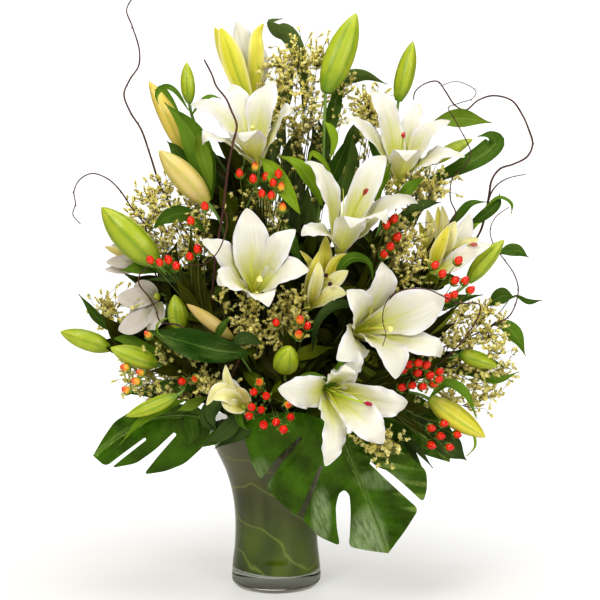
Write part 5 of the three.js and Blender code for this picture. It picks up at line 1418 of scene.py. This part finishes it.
def to_segments(points, line):
    """For each point: the distance to the line through places, the share along it and the side."""
    best = np.full(len(points), 1e9)
    along, side = np.zeros(len(points)), np.zeros(len(points))
    lengths = [np.linalg.norm(np.subtract(b, a)) for a, b in zip(line, line[1:])]
    total, passed = sum(lengths), 0
    for (a, b), length in zip(zip(line, line[1:]), lengths):
        a, d = np.array(a), np.subtract(b, a)
        t = np.clip((points - a) @ d / length ** 2, 0, 1)
        off = points - (a + t[:, None] * d)
        distance = np.linalg.norm(off, axis=1)
        nearer = distance < best
        best = np.where(nearer, distance, best)
        along = np.where(nearer, (passed + t * length) / total, along)
        side = np.where(nearer, np.sign(d[0] * off[:, 1] - d[1] * off[:, 0]), side)
        passed += length
    return best, along, side


def flat_leaf(outline, every, rng):
    """The leaf's flat shape, filled with triangles that all face the viewer."""
    low, high = np.min(outline, axis=0), np.max(outline, axis=0)
    inner = []
    for row, y in enumerate(np.arange(low[1], high[1], every * 0.87)):
        for x in np.arange(low[0] + every / 2 * (row % 2), high[0], every):
            inner.append((x + rng.normal(0, 0.12 * every), y + rng.normal(0, 0.12 * every)))
    loop = [(k, (k + 1) % len(outline)) for k in range(len(outline))]
    flat, _, faces, *_ = delaunay_2d_cdt([Vector(p) for p in outline + inner], loop, [], 1, 1e-4)
    used = sorted({k for face in faces for k in face})
    index = {k: i for i, k in enumerate(used)}
    flat = np.array([tuple(p) for p in flat])[used]
    faces = np.array([[index[k] for k in face] for face in faces])
    a, b, c = (flat[faces[:, k]] for k in range(3))
    turned_in = (b - a)[:, 0] * (c - a)[:, 1] - (b - a)[:, 1] * (c - a)[:, 0] < 0
    faces[turned_in] = faces[turned_in][:, ::-1]
    return flat, faces


def make_monstera(name, shape, looks):
    rng = draws(name)
    rib, crown = shape["midrib"], shape["crown"]
    outline = rounded([rib[0]] + shape["right"] + [rib[-1]] + shape["left"][::-1], 4.0, rib[-1])
    flat, faces = flat_leaf(outline, 4.0, rng)
    line = Line([(a, u, 0) for a, u in rib])
    away, along, side = to_segments(flat, [tuple(line.place(k / 40))[:2] for k in range(41)])
    near_edge, _, _ = to_segments(flat, outline + outline[:1])
    between_veins = (along * 8.5 - away * 0.022 + 0.25 * side) % 1
    vein = 1 - np.clip(np.abs(between_veins - 0.5) / 0.04, 0, 1)
    vein *= np.clip(away / 12, 0, 1) * np.clip(near_edge / 14, 0, 1)
    ridge = np.exp(-(away / 2.6) ** 2)
    belly = 1.3 * np.sin(math.pi * between_veins) ** 2 * np.clip(away / 22, 0, 1)
    near = crown - shape["fall"] * away ** 2 + belly - 3.2 * ridge
    near += 2.2 * np.sin(flat[:, 0] * 0.045 + 1) * np.sin(flat[:, 1] * 0.05) * np.clip(away / 30, 0, 1)
    front = np.array([tuple(at((a, u, n))) for (a, u), n in zip(flat, near)])
    thickness = 0.9 + 2.4 * ridge + 0.9 * vein
    behind = front + np.array([0, 1, 0]) * thickness[:, None]
    count = len(flat)
    uv = np.stack([0.5 + side * away / 260, along], axis=1)
    edges = {(p, q): True for face in faces for p, q in zip(face, np.roll(face, -1))}
    rim = [[q, p, p + count, q + count] for p, q in edges if (q, p) not in edges]
    rim_uv = [[uv[q], uv[p], uv[p], uv[q]] for q, p, _, _ in rim]
    part = (np.concatenate([front, behind]), [faces, faces[:, ::-1] + count, rim],
            [uv[faces], uv[faces[:, ::-1]], rim_uv], np.concatenate([np.zeros(count), np.ones(count)]))
    leaf = Piece(name + "_blade")
    leaf.add(part, looks["monstera"], tone=np.concatenate([vein, vein]))
    front_rib = np.array([tuple(at((*line.place(t)[:2], crown - 0.2))) for t in np.linspace(0, 1, 40)])
    leaf.add(tube(front_rib, np.linspace(2.0, 0.4, 40), 10), looks["rib"])
    stem = stem_line(shape["slot"], shape["stalk"] + [[*rib[0], crown - 0.2]])
    leaf.add(tube(stem.course(70), MONSTERA_STALK, 10), looks["rib"])
    leaf.build("monstera_leaf", name)


# ---- what repeats: berries, their calyces, florets and drops, set out by Geometry Nodes ----


def set_out_tree():
    """Sets a small piece on every point, standing along the point's heading, then makes it one mesh."""
    tree = bpy.data.node_groups.new("set_out_small_pieces", "GeometryNodeTree")
    for name, kind in (("Points", "Geometry"), ("Piece", "Object"), ("Size", "Float"),
                       ("Size Spread", "Float"), ("Seed", "Int"), ("Finish", "Material")):
        tree.interface.new_socket(name=name, in_out="INPUT", socket_type="NodeSocket" + kind)
    tree.interface.new_socket(name="Geometry", in_out="OUTPUT", socket_type="NodeSocketGeometry")
    nodes, links = tree.nodes, tree.links
    given = nodes.new("NodeGroupInput").outputs
    seed = given["Seed"]

    def node(kind, *values, out=0, settings=(), **inputs):
        made = nodes.new(kind)
        for name, value in settings:
            setattr(made, name, value)
        fed = list(zip(made.inputs, values))
        fed += [(socket, inputs[socket.name.replace(" ", "_")]) for socket in made.inputs
                if socket.enabled and socket.name.replace(" ", "_") in inputs]
        for socket, value in fed:
            if isinstance(value, bpy.types.NodeSocket):
                links.new(value, socket)
            else:
                socket.default_value = value
        return made.outputs[out]

    piece = node("GeometryNodeObjectInfo", out=4, Object=given["Piece"])
    heading = node("GeometryNodeInputNamedAttribute", settings=[("data_type", "FLOAT_VECTOR")],
                   Name="heading")
    standing = node("FunctionNodeAlignRotationToVector", settings=[("axis", "Z")], Vector=heading)
    turn = node("FunctionNodeRandomValue", out=1, Min=0.0, Max=2 * math.pi, Seed=seed)
    roll = node("FunctionNodeAxisAngleToRotation", Axis=(0, 0, 1), Angle=turn)
    rotation = node("FunctionNodeRotateRotation", settings=[("rotation_space", "LOCAL")],
                    Rotation=standing, Rotate_By=roll)
    seed_after = node("ShaderNodeMath", seed, seed, settings=[("operation", "ADD")])
    spread = node("FunctionNodeRandomValue", out=1, Min=-1.0, Max=1.0, Seed=seed_after)
    change = node("ShaderNodeMath", spread, given["Size Spread"], 1.0,
                  settings=[("operation", "MULTIPLY_ADD")])
    size = node("ShaderNodeMath", change, given["Size"], settings=[("operation", "MULTIPLY")])
    placed = node("GeometryNodeInstanceOnPoints", Points=given["Points"], Instance=piece,
                  Rotation=rotation, Scale=size)
    tone = node("FunctionNodeRandomValue", out=1, Min=0.0, Max=1.0, Seed=seed)
    toned = node("GeometryNodeStoreNamedAttribute", Geometry=placed, Name="tone", Value=tone,
                 settings=[("data_type", "FLOAT"), ("domain", "INSTANCE")])
    whole = node("GeometryNodeRealizeInstances", Geometry=toned)
    finished = node("GeometryNodeSetMaterial", Geometry=whole, Material=given["Finish"])
    links.new(finished, nodes.new("NodeGroupOutput").inputs[0])
    return tree


class SmallPiece:
    """A small piece, 1 mm in radius, that is set out many times in its size, give or take a spread."""

    def __init__(self, name, tree, size, spread, slot, *parts):
        piece = Piece(name)
        for part in parts:
            piece.add(part, None)
        self.pattern = new_object(name, piece.mesh())
        self.tree, self.size, self.spread, self.slot = tree, size, spread, slot

    def set_out(self, name, points, headings, finish, node):
        """Sets it out at points in millimetres, each standing along its heading, as one plain mesh."""
        mesh = bpy.data.meshes.new(name)
        mesh.from_pydata((np.array(points) * MM).tolist(), [], [])
        attribute = mesh.attributes.new("heading", "FLOAT_VECTOR", "POINT")
        attribute.data.foreach_set("vector", np.array(headings, np.float32).ravel())
        holder = new_object(name, mesh)
        modifier = holder.modifiers.new("set out", "NODES")
        modifier.node_group = self.tree
        values = {"Piece": self.pattern, "Size": self.size, "Size Spread": self.spread,
                  "Seed": seed_of(node), "Finish": finish}
        for socket in self.tree.interface.items_tree:
            if socket.name in values:
                modifier[socket.identifier] = values[socket.name]
        evaluated = holder.evaluated_get(bpy.context.evaluated_depsgraph_get())
        whole = bpy.data.meshes.new_from_object(evaluated)
        holder.modifiers.remove(modifier)
        holder.data = whole
        whole.name = name
        settle(holder, self.slot, node)


def berry_shape():
    """A hypericum berry: broad below the middle, drawn to a blunt point."""
    profile = [(0, -1.2), (0.45, -1.12), (0.84, -0.75), (1.0, -0.15), (0.93, 0.42), (0.68, 0.92),
               (0.34, 1.24), (0.12, 1.36), (0.1, 1.52), (0, 1.54)]
    return turned(profile, 12)


def calyx_shape():
    """Five small pointed leaves under a berry."""
    parts = []
    up = np.array([0, 0, 1])
    for k in range(5):
        turn = 2 * math.pi * k / 5
        away = np.array([math.cos(turn), math.sin(turn), 0])
        side = np.array([-math.sin(turn), math.cos(turn), 0])
        course = [up * -1.3, away * 0.75 + up * -1.25, away * 1.2 + up * -0.75, away * 1.5 + up * -0.2]
        grid = np.array([[place + side * half, place - up * 0.08 * half, place - side * half]
                         for place, half in zip(course, [0.22, 0.42, 0.34, 0.04])])
        parts.append(blade(grid, 0.1))
    return parts


def floret_shape():
    """A limonium floret: a short funnel with five pointed lobes."""
    turns = 2 * math.pi * np.arange(5) / 5
    mouth = [(0.5 * math.cos(a), 0.5 * math.sin(a), 0.0) for a in turns]
    lobes = [(math.cos(a), math.sin(a), 0.4) for a in turns + math.pi / 5]
    points = np.array(mouth + lobes + [(0, 0, -1.7), (0, 0, -0.1)])
    foot, heart = 10, 11
    sides = [(k, (k + 1) % 5) for k in range(5)]
    faces = [[[b, a, foot] for a, b in sides], [[a, b, 5 + a] for a, b in sides],
             [[5 + a, a, heart] for a, b in sides], [[b, 5 + a, heart] for a, b in sides]]
    low, middle, high = [0.5, 0.0], [0.5, 0.5], [0.5, 1.0]
    uvs = [[[middle, middle, low]] * 5, [[middle, middle, high]] * 5, [[high, middle, middle]] * 5,
           [[middle, high, middle]] * 5]
    return points, faces, uvs, 0.0


def make_kit():
    tree = set_out_tree()
    drop = turned([(0, -0.35), (0.85, -0.3), (1, 0), (0.86, 0.32), (0.5, 0.56), (0, 0.66)], 12)
    return {
        "berry": SmallPiece("berry", tree, BERRY_RADIUS, 0.08, "hypericum", berry_shape()),
        "calyx": SmallPiece("calyx", tree, BERRY_RADIUS, 0.08, "lily_green", *calyx_shape()),
        "floret": SmallPiece("floret", tree, FLORET_RADIUS, 0.4, "limonium", floret_shape()),
        "drop": SmallPiece("drop", tree, DROP_RADIUS, 0.45, "water", drop),
    }


# ---- sprays of berries and of florets, curly twigs, other foliage ----


def make_hypericum(name, shape, looks, kit):
    rng, line, stalks = begin(name, "_stalks", shape, HYPERICUM_STEM, 8, looks["woody"])
    points, headings = [], []
    for i, (across, up) in enumerate(shape["berries"]):
        middle = at((across, up, shape["near"] + 20 * (rng.uniform() - 0.5)))
        t = 0.7 + 0.29 * rng.uniform()
        start, leaving = line.place(t), line.heading(t)
        heading = ((middle - start).normalized() + leaving * 0.8 + Vector((0, -0.5, 0.3))).normalized()
        foot = middle - heading * BERRY_RADIUS * 1.2
        bend = start.lerp(foot, 0.5) + leaving * 6 + Vector(rng.normal(0, 5, 3))
        stalks.add(curved([start, bend, foot], 0.75, 0.6, 10, 6), looks["woody"])
        points.append(middle)
        headings.append(heading)
        if i % 2:
            tip = start.lerp(middle, 0.8) + Vector(rng.normal(0, 12, 3)) + Vector((0, 0, 8))
            grid = arching_leaf(start, leaving, tip, rng.uniform(12, 18), rng, 10, 5,
                                tilt=rng.uniform(-0.4, 0.4))
            # These side leaves also get the near-black finish of painted shade.
            stalks.add(blade(grid, INNER_LEAF_THICKNESS), looks["inner_leaf"], tone=rng.uniform(0.3, 0.9))
    inner_leaves(stalks, line, looks, rng, lowest=258, highest=0.94, count=30, reach=(40, 80),
                 width=(14, 24), back=0.2)
    stalks.build("dark_leaf", name)
    kit["berry"].set_out(name + "_berries", points, headings, looks[shape.get("berry", "berry")], name)
    kit["calyx"].set_out(name + "_calyces", points, headings, looks["hypericum_calyx"], name)


def head_tips(shape, rng):
    """Where the branches of a limonium head end: spread over an oval, and at the low tips."""
    (across, up, near), (wide, high, deep) = shape["middle"], shape["half"]
    count = shape.get("tips") or int(np.clip(wide * high / 50, 30, 84))
    tips = []
    for i in range(count):
        turn, spread = TURN_TO_NEXT * i, 1.16 * math.sqrt((i + 0.5) / count)
        tips.append(at((across + wide * spread * math.cos(turn), up + high * spread * math.sin(turn),
                        near + deep * (2 * rng.uniform() - 1))))
    return tips + [at(place) for place in shape.get("low_tips", [])]


def make_limonium(name, shape, looks, kit):
    """Every fifth branch leaves the stem, the others leave those. Twigs on all of them bear florets."""
    look = looks["limonium_stalk"]
    rng, line, sprays = begin(name, "_stalks", shape, LIMONIUM_STEM, 7, look)
    tips = head_tips(shape, rng)
    branches = []
    for tip in tips[::5]:
        t = 0.62 + 0.36 * rng.uniform()
        start, leaving = line.place(t), line.heading(t)
        bend = start.lerp(tip, 0.5) + leaving * 12 + Vector(rng.normal(0, 5, 3))
        branches.append(bezier([start, bend, tip], 16))
        sprays.add(tube(branches[-1], np.linspace(0.85, 0.45, 16), 5), look)
    roots = np.concatenate([branch[5:15] for branch in branches])
    root_headings = np.concatenate([unit(np.gradient(branch, axis=0))[5:15] for branch in branches])
    points, headings = [], []
    for k, tip in enumerate(tips):
        tip = np.array(tip)
        if k % 5:
            off = np.abs(np.linalg.norm(roots - tip, axis=1) - 26) + 30 * (roots[:, 2] > tip[2] + 6)
            root = int(off.argmin())
            bend = roots[root] + root_headings[root] * 9 + rng.normal(0, 3, 3)
            branch = bezier([roots[root], bend, tip], 10)
            sprays.add(tube(branch, np.linspace(0.6, 0.4, 10), 4), look)
        else:
            branch = branches[k // 5][8:]
        onward = unit(branch[-1] - branch[len(branch) // 2])
        for share in np.linspace(0.1, 1, 8):
            place = branch[int(share * (len(branch) - 1))]
            away = unit(onward + rng.normal(0, 0.75, 3) + np.array([0, -0.25, 0.25]))
            end = place + away * rng.uniform(7, 19)
            twig = bezier([place, place + away * 4 + np.array([0, 0, 2.0]), end], 5)
            sprays.add(tube(twig, 0.36, 4), look)
            for row in (0.55, 0.7, 0.82, 0.92, 1.0):
                heading = unit(away * 0.6 + rng.normal(0, 0.6, 3) + np.array([0, -0.6, 0.6]))
                points.append(place + (end - place) * row + heading * rng.uniform(0.6, 2.0))
                headings.append(heading)
    sprays.build("dark_leaf", name)
    kit["floret"].set_out(name + "_florets", points, headings, looks["floret"], name)


def make_willow(name, shape, looks):
    """A twig whose thickness wavers, with knobs where its buds were."""
    rng = draws(name)
    line = stem_line(shape["slot"], shape["line"])
    twig = Piece(name + "_twig")
    steps = 14 * len(shape["line"])
    t = np.linspace(0, 1, steps + 1)
    radii = shape["radius"] * (0.95 - 0.5 * t) * (1 + 0.05 * np.sin(t * 90 + rng.uniform(0, 6)))
    twig.add(tube(line.course(steps), radii, 10), looks["bark"])
    if "side" in shape:
        side = shape["side"]
        start = line.place(line.at_height(side["height"]))
        offshoot = Line([start] + [at(place) for place in side["line"]])
        radii = side["radius"] * (1.05 - 0.55 * np.linspace(0, 1, 60))
        twig.add(tube(offshoot.course(59), radii, 8), looks["bark"])
    for t in 0.45 + 0.07 * np.arange(7):
        place, heading = np.array(line.place(t)), np.array(line.heading(t))
        away = unit(np.cross(heading, rng.normal(size=3)) + heading * 0.8)
        knob = place + np.outer(np.linspace(0, 1, 6), away * 3.4)
        radii = np.array([0.9, 1.1, 1.0, 0.8, 0.5, 0.15]) * min(1, shape["radius"] / 2)
        twig.add(tube(knob, radii, 7), looks["bark"])
    twig.build("willow_bark", name)


def make_foliage(name, shape, looks, kit):
    rng, line, piece = begin(name, "_leaves", shape, FOLIAGE_STEM, 10, looks["stem"])
    grids = shown_leaves(piece, name, looks, rng)
    if "drops" in shape:
        set_drops(shape["drops"], grids[0], name, looks, kit)
    inner_leaves(piece, line, looks, rng, lowest=256, highest=0.85, count=60, reach=(48, 84),
                 width=(20, 34), back=0.35)
    piece.build("dark_leaf", name)


def set_drops(count, grid, name, looks, kit):
    """Drops of water on the upper side of the broad leaf in front."""
    rng = draws(name)
    rows, columns = grid.shape[:2]
    normal = facing_of(grid)
    points, headings = [], []
    for _ in range(count):
        i, j = rng.integers(3, rows - 2), rng.integers(1, columns - 1)
        share = rng.uniform()
        facing = normal[i, j] if normal[i, j][1] < 0 else -normal[i, j]
        points.append(grid[i, j] * (1 - share) + grid[i + 1, j] * share + facing * 0.35)
        headings.append(facing)
    kit["drop"].set_out("drops_on_front_leaf", points, headings, looks["drop"], name)


# ---- floor, light and camera ----

# Each light: place, the height on the axis that it aims at, width, energy and colour.
LIGHTS = {
    "key": ((-1.2, -2.3, 2.0), 0.45, 1.4, 40, (1.0, 0.975, 0.9)),
    "fill": ((1.6, -2.4, 1.3), 0.45, 1.6, 33, (1.0, 0.975, 0.91)),
    "top": ((0.1, -0.3, 2.6), 0.5, 1.4, 20, (1, 1, 1)),
    "behind": ((0.3, 2.4, 1.4), 0.4, 1.6, 9, (1, 1, 1)),
}


def make_floor():
    """Plain and pale: it takes the shadow near the vase and runs out into white."""
    mesh = bpy.data.meshes.new("pale_floor")
    mesh.from_pydata([(-30, -8, 0), (30, -8, 0), (30, 60, 0), (-30, 60, 0)], [], [(0, 1, 2, 3)])
    finish = Finish("pale_floor", Roughness=0.6)
    grain = finish.noise(finish.where(), 3.0, 2.0)
    finish.set(Base_Color=finish.mix(grain, (0.9, 0.9, 0.9), (0.92, 0.92, 0.92)))
    far = finish.node("ShaderNodeVectorMath", finish.where(), operation="LENGTH", out=1)
    white_far_off = finish.ray("Is Camera Ray") * far.ease(0.12, 0.9, 0.35, 1.0)
    finish.show(white_far_off, finish.node("ShaderNodeEmission"))
    mesh.materials.append(finish.material)
    new_object("pale_floor", mesh)


def aim(holder, place, target):
    holder.location = place
    holder.rotation_euler = (Vector(target) - Vector(place)).to_track_quat("-Z", "Y").to_euler()


def make_lights():
    for name, (place, height, width, energy, colour) in LIGHTS.items():
        light = bpy.data.lights.new(name, "AREA")
        light.shape, light.size, light.energy, light.color = "DISK", width, energy, colour
        aim(new_object(name, light), place, (0, 0, height))


def make_surroundings():
    """White as the camera sees it, and a softer light from all round."""
    world = bpy.data.worlds.new("studio")
    bpy.context.scene.world = world
    world.use_nodes = True
    nodes, links = world.node_tree.nodes, world.node_tree.links
    seen, lit = nodes["Background"], nodes.new("ShaderNodeBackground")
    for background, colour, strength in ((seen, (1, 1, 1, 1), 1.0), (lit, (1, 0.93, 0.7, 1), 0.19)):
        background.inputs["Color"].default_value = colour
        background.inputs["Strength"].default_value = strength
    path, mixer = nodes.new("ShaderNodeLightPath"), nodes.new("ShaderNodeMixShader")
    links.new(path.outputs["Is Camera Ray"], mixer.inputs[0])
    links.new(lit.outputs[0], mixer.inputs[1])
    links.new(seen.outputs[0], mixer.inputs[2])
    links.new(mixer.outputs[0], nodes["World Output"].inputs[0])
    bpy.context.scene.view_settings.view_transform = "Standard"
    bpy.context.scene.view_settings.look = "Medium High Contrast"


def make_camera():
    camera = bpy.data.cameras.new("photo_view")
    camera.sensor_width = 36
    camera.lens = 88.3
    camera.clip_start, camera.clip_end = 0.05, 50
    holder = new_object("photo_view", camera)
    aim(holder, EYE * MM, VIEW_MIDDLE * MM)
    bpy.context.scene.camera = holder


# ---- the bouquet put together ----

looks = make_looks()
make_vase(looks)
make_liner(looks)
make_water(looks)
for make, shapes in ((make_bloom, BLOOMS), (make_lily_stem, LILY_STEMS), (make_monstera, MONSTERA),
                     (make_willow, WILLOW)):
    for name, shape in shapes.items():
        make(name, shape, looks)
kit = make_kit()
for make, shapes in ((make_hypericum, HYPERICUM), (make_limonium, LIMONIUM), (make_foliage, FOLIAGE)):
    for name, shape in shapes.items():
        make(name, shape, looks, kit)
for small_piece in kit.values():
    bpy.data.objects.remove(small_piece.pattern)

make_floor()
make_lights()
make_surroundings()
make_camera()
